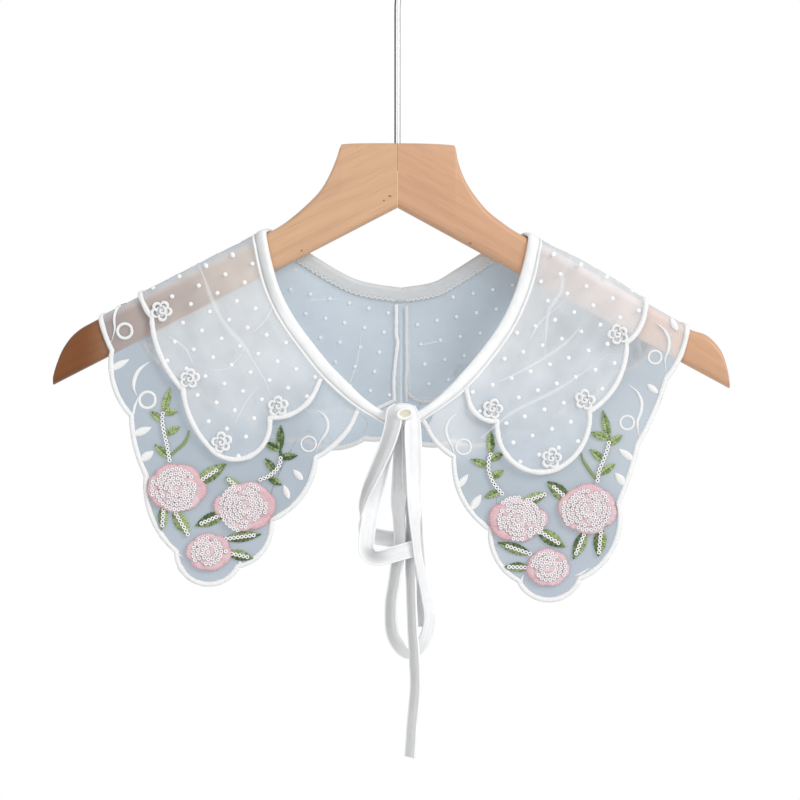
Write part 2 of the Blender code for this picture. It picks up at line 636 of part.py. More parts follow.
def binding_ring(side, seam, share):
    """Section of the neck binding: it starts just inside the neck seam."""
    run, reach = seam.at_share(share)
    step = seam.inward(share)
    width = TAPE_WIDTH - TAPE_NARROWING * ease((share - TAPE_NARROWS_AT) / (1.0 - TAPE_NARROWS_AT))
    profile = [
        (BINDING_GAP, 0.0), (BINDING_GAP, TAPE_HEIGHT - 0.4), (width / 2, TAPE_HEIGHT),
        (width, TAPE_HEIGHT - 0.6), (width, 0.2), (width / 2, 0.0),
    ]
    return [place(side, run + step[0] * across, reach + step[1] * across, lift) for across, lift in profile]


def neck_binding(collection):
    """One tape from the knot round the neck and back to the knot."""
    rings = []
    for side in (LEFT, RIGHT):
        seam = NeckSeam(side)
        wrapped = [seam.share_at_reach(reach) for reach in wrap_reaches()]
        low, high = wrapped[0], wrapped[-1]
        back = [low * step / BINDING_BACK_STEPS for step in range(BINDING_BACK_STEPS)]
        front = [high + (1.0 - high) * step / BINDING_FRONT_STEPS
                 for step in range(1, BINDING_FRONT_STEPS + 1)]
        rings.append([binding_ring(side, seam, share) for share in back + wrapped + front])
    left, right = rings
    middle = [(a + b) / 2 for a, b in zip(left[0], right[0])]
    loft("neck_binding", left[:0:-1] + [middle] + right[1:], "satin", collection)


def knot(collection):
    """The tie's knot: a soft rounded block with a flat floor that the strands leave."""
    bm = bmesh.new()
    bmesh.ops.create_uvsphere(bm, u_segments=16, v_segments=10, radius=1.0)
    for vert in bm.verts:
        x, y, z = vert.co
        size = (abs(x) ** KNOT_SQUARENESS + abs(y) ** KNOT_SQUARENESS + abs(z) ** KNOT_SQUARENESS)
        size **= 1 / KNOT_SQUARENESS
        off_dent = (x - KNOT_DENT_AT[0]) ** 2 + (z - KNOT_DENT_AT[1]) ** 2
        dent = 1.0 - KNOT_DENT * exp(-off_dent / KNOT_DENT_SPREAD) if y < 0 else 1.0
        vert.co = Vector((
            KNOT_CENTRE[0] + KNOT_SIZE[0] * x / size * (1.0 + KNOT_FLARE * z),
            KNOT_CENTRE[1] + KNOT_SIZE[1] * y / size * dent,
            max(KNOT_CENTRE[2] + KNOT_SIZE[2] * z / size, KNOT_FLOOR_Z))) * MM
    mesh = bpy.data.meshes.new("bow_knot")
    bm.to_mesh(mesh)
    bm.free()
    shade(mesh, 60)
    new_object("bow_knot", mesh, "satin", collection)


def strand_ring(row, tangent):
    """A flat tape's section across its path, facing the way its row says."""
    facing = radians(row[4])
    tip = radians(row[5])
    normal = Vector((sin(facing) * cos(tip), -cos(facing) * cos(tip), -sin(tip)))
    normal -= tangent * normal.dot(tangent)
    normal.normalize()
    across = tangent.cross(normal) * row[3] / 2
    out = normal * RIBBON_THICKNESS / 2
    centre = Vector(row[:3])
    return [(centre + across * a + out * b) * MM
            for a, b in ((-1, -0.6), (0, -1), (1, -0.6), (1, 0.6), (0, 1), (-1, 0.6))]


def ribbon(name, rows, collection):
    points = catmull(rows, RIBBON_STEPS)
    rings = []
    for index, row in enumerate(points):
        before = Vector(points[max(index - 1, 0)][:3])
        after = Vector(points[min(index + 1, len(points) - 1)][:3])
        tangent = (after - before).normalized()
        if index == 0:
            tangent = Vector((0.0, 0.0, -1.0))
        rings.append(strand_ring(row, tangent))
    if name.startswith("bow"):
        rings[-1] = strand_ring(points[-1], Vector((0.0, 0.0, 1.0)))
    loft(name, rings, "satin", collection)


def to_front(mesh, base):
    """Lay a flat relief, drawn in x and z with its height towards -y, on the front panel."""
    for vert in mesh.vertices:
        x, y, z = vert.co
        vert.co = on_front(x, z, base - y)


def flat_loft(outline_rows):
    """Closed bmesh body from rows of (x, z, half width, height) in the relief's own plane."""
    bm = bmesh.new()
    rings = []
    for index, (x, z, half, height) in enumerate(outline_rows):
        before = outline_rows[max(index - 1, 0)]
        after = outline_rows[min(index + 1, len(outline_rows) - 1)]
        run = Vector((after[0] - before[0], after[1] - before[1])).normalized()
        side = (-run[1] * half, run[0] * half)
        section = ((-1, 0.0), (-1, EDGE_SHARE), (0, 1.0), (1, EDGE_SHARE), (1, 0.0))
        rings.append([bm.verts.new((x + side[0] * across, -height * rise, z + side[1] * across))
                      for across, rise in section])
    for a, b in zip(rings, rings[1:]):
        for index in range(5):
            following = (index + 1) % 5
            bm.faces.new((a[index], a[following], b[following], b[index]))
    bm.faces.new(rings[0][::-1])
    bm.faces.new(rings[-1])
    bmesh.ops.recalc_face_normals(bm, faces=bm.faces)
    return bm


def leaf_rows(leaf):
    """A leaf with a pointed tip, widest before its middle."""
    profile = ((0.0, 0.25), (0.18, 0.75), (0.42, 1.0), (0.7, 0.72), (1.0, 0.08))
    return [(leaf.x + (leaf.tip_x - leaf.x) * share, leaf.z + (leaf.tip_z - leaf.z) * share,
             leaf.width / 2 * width, LEAF_THICKNESS) for share, width in profile]


def stem_rows(points):
    """A stem that ends in a bud."""
    rows = [(x, z, STEM_HALF_WIDTH, LEAF_THICKNESS) for x, z in catmull(points, 2)[:-2]]
    tip = points[-1]
    low = points[-2]
    for share, width in ((0.0, 0.45), (0.25, 0.9), (0.5, 1.0), (0.8, 0.55), (1.0, 0.12)):
        rows.append((low.x + (tip.x - low.x) * share, low.z + (tip.z - low.z) * share,
                     BUD_HALF_WIDTH * width, LEAF_THICKNESS))
    return rows


def mesh_from(bm, name):
    mesh = bpy.data.meshes.new(name)
    bm.to_mesh(mesh)
    bm.free()
    return mesh


def vine(name, guides, collection):
    """A stem with its bud and small leaves, joined in the flat and then laid on the panel."""
    body = new_object(name, mesh_from(flat_loft(stem_rows(VINES[name])), name), "leaf", collection)
    for index, leaf in enumerate(VINE_LEAVES[name]):
        lower = VINE_LEAF_HEIGHT - VINE_LEAF_STEP * index
        rows = [(x, z, half, height * lower) for x, z, half, height in leaf_rows(leaf)]
        cutter = new_object(f"{name}_leaf_{index}", mesh_from(flat_loft(rows), name), None, guides)
        cutter.location.y = -VINE_LEAF_RISE * (index + 1)
        joint = body.modifiers.new(f"leaf_{index}", "BOOLEAN")
        joint.operation = "UNION"
        joint.object = cutter
    bpy.context.view_layer.update()
    evaluated = body.evaluated_get(bpy.context.evaluated_depsgraph_get())
    joined = bpy.data.meshes.new_from_object(evaluated)
    body.modifiers.clear()
    body.data = joined
    body.name = "vine_" + name
    to_front(joined, SPRAY_GAP)
    shade(joined)


def leaf_piece(name, leaf, collection):
    mesh = mesh_from(flat_loft(leaf_rows(leaf)), name)
    to_front(mesh, SPRAY_GAP)
    shade(mesh)
    new_object(name, mesh, "leaf", collection)


def petal_disc(segments, rings, lobes, turn):
    """Rings of a lobed, domed disc of unit size, as lists of (x, z, height)."""
    disc = []
    for share in rings:
        ring = []
        for index in range(segments):
            angle = 2 * pi * index / segments
            lobe = 1.0 + 0.07 * share * cos(lobes * angle + turn)
            swirl = 0.16 * sin(3 * angle + 7.0 * share + turn) * share * (1.2 - share)
            height = (1.0 - share ** 3.0) * 0.75 + 0.25 * (1.0 - share) + swirl
            ring.append((share * lobe * cos(angle), share * lobe * sin(angle), max(height, 0.12)))
        disc.append(ring)
    return disc


def relief_disc(name, disc, put, finish, collection):
    """A closed domed disc: its lobed rings above, one flat fan below."""
    bm = bmesh.new()
    rows = [[bm.verts.new(put(x, z, height)) for x, z, height in ring] for ring in disc]
    floor = [bm.verts.new(put(x, z, 0.0)) for x, z, _ in disc[-1]]
    crown = bm.verts.new(put(0.0, 0.0, disc[0][0][2]))
    base = bm.verts.new(put(0.0, 0.0, 0.0))
    count = len(floor)
    for index in range(count):
        following = (index + 1) % count
        bm.faces.new((crown, rows[0][index], rows[0][following]))
        bm.faces.new((base, floor[following], floor[index]))
        for a, b in zip(rows + [None], rows[1:] + [floor]):
            if a and b:
                bm.faces.new((a[index], b[index], b[following], a[following]))
    bmesh.ops.recalc_face_normals(bm, faces=bm.faces)
    mesh = mesh_from(bm, name)
    shade(mesh, 55)
    new_object(name, mesh, finish, collection)


def rose(name, row, collection):
    def put(x, z, height):
        return on_front(row.x + x * row.half_width, row.z + z * row.half_height,
                        ROSE_BASE + height * ROSE_HEIGHT)

    disc = petal_disc(15, (0.22, 0.48, 0.74, 0.93), 5, row.turn)
    relief_disc(name, disc, put, "rose", collection)


def rosette_rows():
    """Name, side, sheet place and distance from the neck of each rosette, inside its cusp."""
    for side in (LEFT, RIGHT):
        seam = NeckSeam(side)
        for index, cusp in enumerate(TOP_EDGE[side.name][1:-1], 1):
            if cusp.face == 0:
                continue
            edge = to_sheet(side, cusp.face, cusp.x, cusp.z)
            neck = seam.at_share(cusp.share)
            length = sqrt((edge[0] - neck[0]) ** 2 + (edge[1] - neck[1]) ** 2)
            centre = blend(edge, neck, ROSETTE_INSET / length)
            yield f"rosette_{side.name}_{index}", side, centre, length - ROSETTE_INSET


def rosette(name, side, centre, distance, collection):
    def put(x, z, height):
        run = centre[0] + x * ROSETTE_RADIUS
        reach = centre[1] + z * ROSETTE_RADIUS
        lift = top_lift(side, reach, distance) + WALL + ROSETTE_GAP
        return place(side, run, reach, lift + height * ROSETTE_HEIGHT)

    relief_disc(name, petal_disc(10, (0.5, 0.92), 5, 0.6), put, "thread", collection)


def arm_top(side, point):
    """Upper edge of the arm at a row of its outline."""
    if point.top is not None:
        return point.top
    slope = radians(side.slope)
    return side.fold_z - (point.x - side.fold_x) * tan(slope) - WOOD_CLEARANCE / cos(slope)


def arm_section(side, point):
    """A rounded upright section of the arm."""
    x = side.sign * max(point.x, MITRE_HALF_GAP)
    top = arm_top(side, point)
    bottom = HANGER_APEX_Z - point.x * tan(radians(side.lower_slope))
    radius = min(HANGER_EDGE_RADIUS, (top - bottom) * 0.45)
    half = HANGER_THICKNESS / 2 - radius
    y = hanger_bow(x)
    corners = ((1, top, 0), (1, bottom, 90), (-1, bottom, 180), (-1, top, 270))
    ring = []
    for front, edge, first in corners:
        inner = edge - radius if edge == top else edge + radius
        for step in range(4):
            angle = radians(first + 30 * step)
            ring.append(Vector((x, y + front * half + radius * sin(angle), inner + radius * cos(angle))) * MM)
    return ring


def hanger_arm(side, cutters, collection):
    name = f"hanger_arm_{side.name}"
    arm = loft(name, [arm_section(side, point) for point in ARM_OUTLINE[side.name]], "wood", collection)
    bm = bmesh.new()
    bmesh.ops.create_cone(bm, cap_ends=True, segments=24, radius1=(WIRE_RADIUS + SEAM_GAP) * MM,
                          radius2=(WIRE_RADIUS + SEAM_GAP) * MM, depth=2 * SHANK_SEAT * MM)
    bore = new_object(f"{name}_bore", mesh_from(bm, f"{name}_bore"), None, cutters)
    bore.location = (0.0, 0.0, HANGER_TOP_Z * MM)
    cut = arm.modifiers.new("shank bore", "BOOLEAN")
    cut.operation = "DIFFERENCE"
    cut.object = bore


def hook_points():
    """Centre line of the hook wire, from the foot of the shank to the tip."""
    start = radians(HOOK_START_ANGLE)
    join = (HOOK_RADIUS * cos(start), HOOK_CENTRE_Z + HOOK_RADIUS * sin(start))
    turn = -start
    bend = join[0] / (1.0 - cos(turn))
    bend_z = join[1] - bend * sin(turn)
    points = [(0.0, HANGER_TOP_Z - SHANK_SEAT + SEAM_GAP), (0.0, bend_z)]
    for step in range(1, 7):
        angle = turn * step / 7
        points.append((bend * (1.0 - cos(angle)), bend_z + bend * sin(angle)))
    for step in range(19):
        angle = radians(HOOK_START_ANGLE + (HOOK_END_ANGLE - HOOK_START_ANGLE) * step / 18)
        points.append((HOOK_RADIUS * cos(angle), HOOK_CENTRE_Z + HOOK_RADIUS * sin(angle)))
    return points


def hook(collection):
    curve = bpy.data.curves.new("hanger_hook", "CURVE")
    curve.dimensions = "3D"
    curve.bevel_depth = WIRE_RADIUS * MM
    curve.bevel_resolution = 3
    curve.use_fill_caps = True
    points = hook_points()
    spline = curve.splines.new("POLY")
    spline.points.add(len(points) - 1)
    for target, (x, z) in zip(spline.points, points):
        target.co = (x * MM, 0.0, z * MM, 1.0)
    curve.materials.append(material("steel"))
    obj = bpy.data.objects.new("hanger_hook", curve)
    collection.objects.link(obj)


def hide_guides(guides):
    for obj in guides.objects:
        obj.hide_render = True
        obj.display_type = "WIRE"


def build():
    for obj in list(bpy.data.objects):
        bpy.data.objects.remove(obj)
    collection = bpy.data.collections.new("detachable_collar_on_hanger")
    guides = bpy.data.collections.new("cutters")
    bpy.context.scene.collection.children.link(collection)
    bpy.context.scene.collection.children.link(guides)
    hook(collection)
    for side in (LEFT, RIGHT):
        hanger_arm(side, guides, collection)
        collar_half(f"under_collar_{side.name}", side, UNDER_EDGE[side.name], UNDER_STATIONS,
                    under_lift, "organza", collection)
        collar_half(f"top_collar_{side.name}", side, TOP_EDGE[side.name], TOP_STATIONS,
                    top_lift, "dotted_organza", collection)
        for index, row in enumerate(ROSES[side.name], 1):
            rose(f"rose_{side.name}_{index}", row, collection)
        for index, row in enumerate(LEAVES[side.name], 1):
            leaf_piece(f"leaf_{side.name}_{index}", row, collection)
    for name in VINES:
        vine(name, guides, collection)
    for name, side, centre, distance in rosette_rows():
        rosette(name, side, centre, distance, collection)
    neck_binding(collection)
    knot(collection)
    for name, rows in BOW.items():
        ribbon(name, rows, collection)
    hide_guides(guides)


build()
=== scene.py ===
"""Looks of a detachable organza collar hanging on a wooden hanger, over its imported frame.

Sizes are named in millimetres and turned into metres where a mesh is written. The front faces -Y.
"""

from collections import namedtuple
from math import acos, asin, atan2, ceil, cos, dist, exp, hypot, pi, radians, sin, sqrt, tan

import bpy
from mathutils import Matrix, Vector, noise


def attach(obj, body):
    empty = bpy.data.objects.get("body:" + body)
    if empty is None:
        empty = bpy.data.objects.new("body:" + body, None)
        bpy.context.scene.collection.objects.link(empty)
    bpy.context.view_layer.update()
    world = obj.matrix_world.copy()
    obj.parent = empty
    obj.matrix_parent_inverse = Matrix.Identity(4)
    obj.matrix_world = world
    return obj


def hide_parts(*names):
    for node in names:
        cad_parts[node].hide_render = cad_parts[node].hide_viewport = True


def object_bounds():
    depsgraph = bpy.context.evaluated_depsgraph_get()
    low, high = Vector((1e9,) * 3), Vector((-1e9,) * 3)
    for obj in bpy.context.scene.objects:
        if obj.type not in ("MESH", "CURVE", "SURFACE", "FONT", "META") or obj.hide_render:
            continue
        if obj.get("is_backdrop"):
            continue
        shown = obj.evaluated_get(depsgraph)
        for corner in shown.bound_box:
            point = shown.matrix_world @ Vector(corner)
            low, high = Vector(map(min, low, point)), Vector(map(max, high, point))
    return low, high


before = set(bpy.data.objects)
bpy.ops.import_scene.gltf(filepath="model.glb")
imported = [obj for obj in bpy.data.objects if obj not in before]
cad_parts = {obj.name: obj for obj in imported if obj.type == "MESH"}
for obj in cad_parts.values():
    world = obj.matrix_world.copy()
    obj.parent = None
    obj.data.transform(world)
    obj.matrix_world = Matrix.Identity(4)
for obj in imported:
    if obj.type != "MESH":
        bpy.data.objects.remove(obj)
cad_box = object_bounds()

MM = 0.001
FULL = (1.0, 1.0, 1.0)


def table(kind, rows_by_name):
    """Rows of plain numbers as rows with named columns."""
    return {name: [kind(*row) for row in rows] for name, rows in rows_by_name.items()}


# Scale of the photo: the pixel of the hanger's middle and what a pixel measures
PIXEL = 0.545
MIDDLE_PX = 397.5
TOP_PX = 143.0
TOP_Z = -147.0

# Camera, straight in front of the middle of the picture
VIEW_X = 1.4
VIEW_Z = -287.0
VIEW_WIDTH = 436.0
VIEW_DISTANCE = 1800.0
SENSOR = 36.0

# Forms shared with the solids
WIRE_RADIUS = 1.7
HOOK_RADIUS = 24.0
HOOK_CENTRE_Z = WIRE_RADIUS - HOOK_RADIUS
HOOK_START_ANGLE = -50.0
HOOK_END_ANGLE = 205.0
SHANK_SEAT = 15.0
HANGER_TOP_Z = -147.2
HANGER_THICKNESS = 12.0
HANGER_EDGE_RADIUS = 4.0
HANGER_HALF_SPAN = 185.0
HANGER_BOW = 11.0
HANGER_APEX_Z = -182.2
MITRE_HALF_GAP = 0.06
WALL = 1.0
WOOD_CLEARANCE = 0.45
WRAP_FLAT = HANGER_THICKNESS / 2 - HANGER_EDGE_RADIUS
WRAP_RADIUS = HANGER_EDGE_RADIUS + WOOD_CLEARANCE
PANEL_DEPTH = WRAP_FLAT + WRAP_RADIUS
WRAP_END = WRAP_FLAT + WRAP_RADIUS * pi / 2
WRAP_STEPS = 6
TOP_LIFT = 1.45
TOP_FLARE = 2.2
TOP_FLARE_RUN = 25.0
SHOULDER_RUN = 63.0
SHOULDER_REACH = 24.0
RIB_STEP = 2.3
RIB_SPREAD = 0.024
Stand = namedtuple("Stand", "middle side half_width middle_drop side_drop")
FRONT_STAND = Stand(13, 5, 55, 95, 110)
BACK_STAND = Stand(9, 3, 70, 60, 80)
SHOULDER_LINE_Z = -166.0
SHOULDER_LINE_SLOPE = 28.5
SHOULDER_LINE_BEND = 30.0
TAPE_WIDTH = 8.7
TAPE_NARROWING = 2.7
TAPE_NARROWS_AT = 0.84
TAPE_RINGS = 150
TAPE_RUN_ON = {"left": 6.5, "right": 8.5}
BINDING_TURN = 16.0
RIBBON_THICKNESS = 0.9
ROSE_BASE = 1.3
ROSE_HEIGHT = 3.2
ROSETTE_INSET = 7.9
ROSETTE_RADIUS = 5.5
ROSETTE_GROUND = (0.80, 0.82, 0.85)
CENTRE_BACK_X = 2.0

Side = namedtuple("Side", "name sign fold_x fold_z slope lower_slope lift")
LEFT = Side("left", -1, 77.5, -199.2, 27.2, 27.4, 0)
RIGHT = Side("right", 1, 77, -201.6, 29.8, 28.7, 1.6)
SIDES = (LEFT, RIGHT)

# Upper edge of each arm: x and z, none where it is straight
ARM_OUTLINE = {
    "left": [
        (0, -147.2), (15, -147.2), (28.5, -147.6), (31, -149), (33.2, -155.5), (36.5, -163.5),
        (40.5, -170.8), (45.5, -177), (56, -186.6), (67.5, -194.6), (95, None), (130, None), (161, None),
        (173.5, -250), (180.5, -258.5), (184.5, -268), (186, -274),
    ],
    "right": [
        (0, -147.2), (15, -147.4), (29, -148.2), (31.5, -149.6), (33, -157), (36, -165.5), (40.5, -173.5),
        (48.5, -183.5), (57.5, -190.8), (67, -197), (95, None), (130, None), (157, None), (167.5, -252),
        (175, -260), (178.5, -270), (179.5, -277.5),
    ],
}

# Small knots on the front of the arms: photo pixels and half size in mm
WOOD_KNOTS = {
    "left": [(389.9, 196.6, 0.8), (384, 201, 0.6), (302, 251, 0.6)],
    "right": [(470, 244, 0.7)],
}

# Neck seam: back (-1), fold (0) or front (1), x and z
NECK = {
    "left": [
        (-1, CENTRE_BACK_X, -234), (-1, -20.5, -230.5), (-1, -36, -224), (-1, -56.5, -211.5),
        (-1, -67, -205), (0, -77.5, -199.2), (1, -76.5, -214), (1, -72, -229.5), (1, -64, -245.5),
        (1, -52.5, -261.5), (1, -40, -276.5), (1, -24.5, -290), (1, -8.5, -299.5),
    ],
    "right": [
        (-1, CENTRE_BACK_X, -234), (-1, 22.5, -230.5), (-1, 37, -222.5), (-1, 51.5, -213.5),
        (-1, 64.5, -207.5), (0, 77, -201.6), (1, 75, -221.5), (1, 65.5, -245.5), (1, 51.5, -266),
        (1, 35.5, -283.5), (1, 17, -296.5),
    ],
}

# Points between the scallops, with the bulge after each and the share of the neck seam it hangs from
Cusp = namedtuple("Cusp", "face x z bulge share")
UNDER_EDGE = table(Cusp, {
    "left": [
        (-1, 1.85, -308, 1, 0), (-1, -18, -309.5, 5, 0.07), (-1, -52, -310, 5, 0.17),
        (-1, -85, -297, 4.5, 0.26), (-1, -114, -277, 4, 0.32), (-1, -140, -256.5, 2.5, 0.35),
        (0, -160.5, -241.9, 1, 0.409), (1, -155.5, -261, 4.3, 0.475), (1, -145, -296, 1.8, 0.53),
        (1, -137, -328, 5.4, 0.60), (1, -120.5, -369.5, 14, 0.70), (1, -85.5, -378, 6, 0.79),
        (1, -67, -352.5, 5.8, 0.85), (1, -43, -319, 3, 0.90), (1, -23, -296, 0, 0.935),
    ],
    "right": [
        (-1, 2.15, -308, 3.5, 0), (-1, 30, -311, 5, 0.09), (-1, 62, -306, 5, 0.19),
        (-1, 92, -292, 4.5, 0.27), (-1, 118, -273, 4, 0.33), (-1, 139, -257.5, 2, 0.355),
        (0, 156, -246.8, 3.2, 0.417), (1, 146.5, -276, 1.2, 0.50), (1, 131, -311.5, 0.8, 0.58),
        (1, 120.5, -343, 8.4, 0.65), (1, 99.5, -384.5, 11.4, 0.745), (1, 64.5, -385.5, 4.7, 0.84),
        (1, 49, -357.5, 6, 0.89), (1, 29.5, -318.5, 1.5, 0.95), (1, 15.5, -303.5, 0, 0.985),
    ],
})
TOP_EDGE = table(Cusp, {
    "left": [
        (-1, -1.5, -291, 4, 0.012), (-1, -33, -293.5, 4.5, 0.10), (-1, -64, -287, 4.5, 0.20),
        (-1, -95, -270, 4, 0.29), (-1, -122, -247, 2, 0.345), (0, -139, -230.8, 1.2, 0.409),
        (1, -134, -243, 3.8, 0.47), (1, -117, -282, 3.8, 0.55), (1, -98.5, -317, 12, 0.655),
        (1, -68, -297.5, 6, 0.75), (1, -43.5, -279.5, 0, 0.82),
    ],
    "right": [
        (-1, 5, -286, 4.5, 0.012), (-1, 38, -280, 4.5, 0.11), (-1, 68, -271, 4, 0.20),
        (-1, 97, -258, 3.5, 0.29), (-1, 120, -243.5, 1.5, 0.35), (0, 132, -233.1, 4.6, 0.417),
        (1, 125, -257, 5.5, 0.49), (1, 105, -294, 6, 0.59), (1, 85.5, -326, 11.7, 0.695),
        (1, 53, -299.5, 4.5, 0.81), (1, 38.5, -286.5, 0, 0.88),
    ],
})

# Cloth shells: places between the neck seam and the edge, and how deep the sewn edges are
SHELL_STATIONS = 34
EDGE_SMOOTH = 8
EDGE_BEND = 15.0
UNDER_TAPE = 1.6
CORD_HALF_WIDTH = 1.4
CORD_HALF_HEIGHT = 0.95
CORD_SIDES = 10
# Painted shade: the cords inside the back are darker on the right.
BACK_CORD_PAINTED_SHADE = {"left": (0.97, 0.98, 0.99), "right": (0.78, 0.80, 0.82)}
CORD_RUN_ON = {
    "under_cloth_left_cord": 3.2, "under_cloth_right_cord": 6.5,
    "top_cloth_left_cord": 3.2, "top_cloth_right_cord": 4.4,
}

# Flocked dots: a square lattice turned to the fold, a place of one dot for each half
DOT_PITCH = 11.0
DOT_TURN = 40.5
DOT_RADIUS = 1.25
DOT_PROFILE = ((0.55, -0.32), (0.95, -0.22), (1.0, 0.0), (0.93, 0.28), (0.62, 0.5), (0.25, 0.58))
DOT_START = {"left": (-85.3, -257.9), "right": (93.4, -298.9)}

# Roses: the place, size and turn of each, then its outer petals by angle, reach and half angle,
# and how many of the outer rows of sequins each of them goes without
Rose = namedtuple("Rose", "x z half_width half_height turn petals")
Petal = namedtuple("Petal", "angle reach half_angle bare")


def rose_row(*values):
    return Rose(*values[:-1], [Petal(*petal) for petal in values[-1]])


ROSES = table(rose_row, {
    "left": [
        (-119, -334.5, 15.8, 13.6, 0.2, [(60, 0.98, 40, 2), (118, 1, 36, 2), (180, 1.02, 42, 1),
         (218, 0.98, 30, 2), (260, 0.98, 34, 0), (305, 0.98, 34, 0), (352, 1.02, 32, 3)]),
        (-82.5, -344.5, 16.1, 13.9, 1.4, [(178, 1.06, 30, 1), (120, 0.92, 36, 1), (62, 1, 40, 1),
         (8, 1.04, 40, 3), (-46, 1, 38, 3), (-105, 0.98, 36, 0), (-148, 0.88, 30, 0)]),
        (-102, -369, 12.3, 10.4, 0.8, [(100, 0.98, 42, 1), (40, 1, 38, 2), (-15, 1.02, 38, 2),
         (-70, 1, 38, 2), (-120, 1, 36, 2), (175, 1, 42, 1)]),
    ],
    "right": [
        (65, -351.5, 15.8, 12.5, 2.2, [(2, 1.05, 28, 1), (58, 0.92, 34, 0), (110, 1, 38, 0),
         (165, 1.02, 42, 3), (222, 1.02, 42, 3), (280, 0.98, 36, 1), (325, 0.92, 28, 0)]),
        (102.5, -346, 15.8, 13.9, 1.1, [(84, 1, 40, 2), (30, 0.98, 34, 1), (-18, 1.02, 34, 1),
         (-80, 0.98, 42, 0), (-140, 0.96, 36, 1), (172, 1.02, 36, 1), (132, 0.95, 30, 2)]),
        (81, -377.5, 11.7, 10.4, 0.1, [(95, 1, 42, 1), (38, 1, 38, 1), (-12, 1.02, 38, 0),
         (-62, 1, 36, 1), (-115, 0.98, 38, 2), (-165, 1, 38, 3), (150, 0.95, 32, 1)]),
    ],
})
SEQUIN_RADIUS = 1.14
SEQUIN_HOLE = 0.42
SEQUIN_STEP = 2.32
SEQUIN_ROW = 2.44
SEQUIN_MARGIN = 0.955
BARE_ROW = 0.48
SEQUIN_SIDES = 12
SEQUIN_PROFILE = (
    (SEQUIN_RADIUS, 0.0), (SEQUIN_RADIUS * 0.93, 0.26), (SEQUIN_RADIUS * 0.68, 0.34),
    (SEQUIN_HOLE * 1.1, 0.16), (SEQUIN_HOLE, 0.02),
)
# Sequin holes: the ground under each hole darkened as painted shade, nearly black on the leaves.
LEAF_HOLE_PAINTED_SHADE = (0.012, 0.02, 0.012)
ROSE_HOLE_PAINTED_SHADE = (0.42, 0.36, 0.38)

# Padded petals: the columns and rows of one, how round its rim is, and the inner rings by count of
# petals, reach and height
Pad = namedtuple("Pad", "middle half inner outer level rise pink")
PAD_SHARES = (0.0, 0.2, 0.4, 0.58, 0.72, 0.83, 0.91, 0.965, 1.0)
PAD_COLUMNS = 18
PETAL_ROUNDING = 0.30
INNER_PETALS = ((5, 0.70, 0.40), (4, 0.47, 0.60), (3, 0.27, 0.76))
LEAF_ROWS = 26
LEAF_COLUMNS = (-1.0, -0.8, -0.5, -0.2, -0.05, 0.05, 0.2, 0.5, 0.8, 1.0)

# Leaves: base, tip, width, colour from dark (0) to light (1) and share of the length with sequins
Leaf = namedtuple("Leaf", "x z tip_x tip_z width light sequins")
LEAVES = table(Leaf, {
    "left": [
        (-108.5, -332, -92.5, -321.5, 7.6, 0.45, 0.75), (-84.5, -335.5, -93, -328.5, 5.2, 0.9, 1),
        (-126, -344, -127, -357, 5.6, 0.5, 1), (-120.5, -346.5, -112.5, -360.5, 7.6, 0.65, 1),
        (-94, -348.5, -109, -355, 7.2, 0.15, 0.85), (-92.5, -362, -73.5, -359.5, 6, 0.2, 0.8),
        (-91.5, -369.5, -78, -372.5, 6, 0.2, 0.8),
    ],
    "right": [
        (67.5, -342.5, 81, -337.5, 6.2, 0.5, 1), (92.5, -341, 81, -331, 7.6, 0.25, 0.8),
        (76, -357.5, 90.5, -366.5, 7.6, 0.3, 0.9), (101.5, -358, 95, -373, 6.8, 0.3, 0.9),
        (110, -356.5, 108.5, -371.5, 7.4, 0.3, 0.9), (71.5, -370, 54, -364, 6, 0.25, 0.8),
        (71, -377.5, 58, -377, 5.6, 0.3, 0.9),
    ],
})
Vine = namedtuple("Vine", "points light sequins leaves")
VINES = {
    "left_outer": Vine(
        [(-123, -319.5), (-124.3, -312), (-126.2, -303.5), (-127, -296), (-124.8, -289),
         (-123, -280.5)], 0.75, 0.72,
        [(-127, -298.5, -133.5, -293, 3.4, 0.75, 0), (-126.8, -293.5, -118.5, -293.5, 3.4, 0.8, 0),
         (-125.5, -305.5, -117.5, -301.5, 3.6, 0.8, 0), (-123.5, -318, -131, -311, 3.6, 0.7, 0)]),
    "left_inner": Vine(
        [(-74, -330), (-68.5, -327.5), (-64, -322.5), (-63, -316.5), (-64.2, -310.5),
         (-63, -300.5)], 0.1, 0.62,
        [(-63.5, -314, -72, -310, 3.6, 0.2, 0), (-63.5, -318, -54, -317, 3.6, 0.05, 0),
         (-66, -326, -71.5, -318.5, 3.6, 0.2, 0), (-70, -328.5, -62.5, -333, 3.4, 0.25, 0)]),
    "right_inner": Vine(
        [(56.5, -337.5), (52, -332), (49.3, -325), (49.5, -318.5), (51.5, -312.5), (50.3, -303.5)],
        0.55, 0.72,
        [(49.5, -323, 39.5, -319, 3.6, 0.6, 0), (50, -319.5, 57.5, -315.5, 3.4, 0.6, 0),
         (50.5, -329, 57.5, -325, 3.6, 0.7, 0), (55, -336.5, 47, -339.5, 3.6, 0.55, 0)]),
    "right_outer": Vine(
        [(108, -330.5), (109, -325), (111.8, -318), (114, -311), (113.8, -304),
         (111, -292.5)], 0.6, 0.72,
        [(113.5, -308, 104.5, -304.5, 3.6, 0.7, 0), (114, -311, 121.5, -306, 3.6, 0.75, 0),
         (111.5, -320, 104, -313.5, 3.6, 0.65, 0), (109.5, -327, 117.5, -321.5, 3.6, 0.75, 0)]),
}
# Bare stems that branch off two of the vines, in photo pixels
BRANCHES = {
    "left_outer": [(172, 456), (178.5, 449.5), (185, 444), (189, 438), (190.8, 430)],
    "right_outer": [(595.5, 480), (591, 474), (585.5, 466), (581.5, 459.5), (579.5, 452)],
}

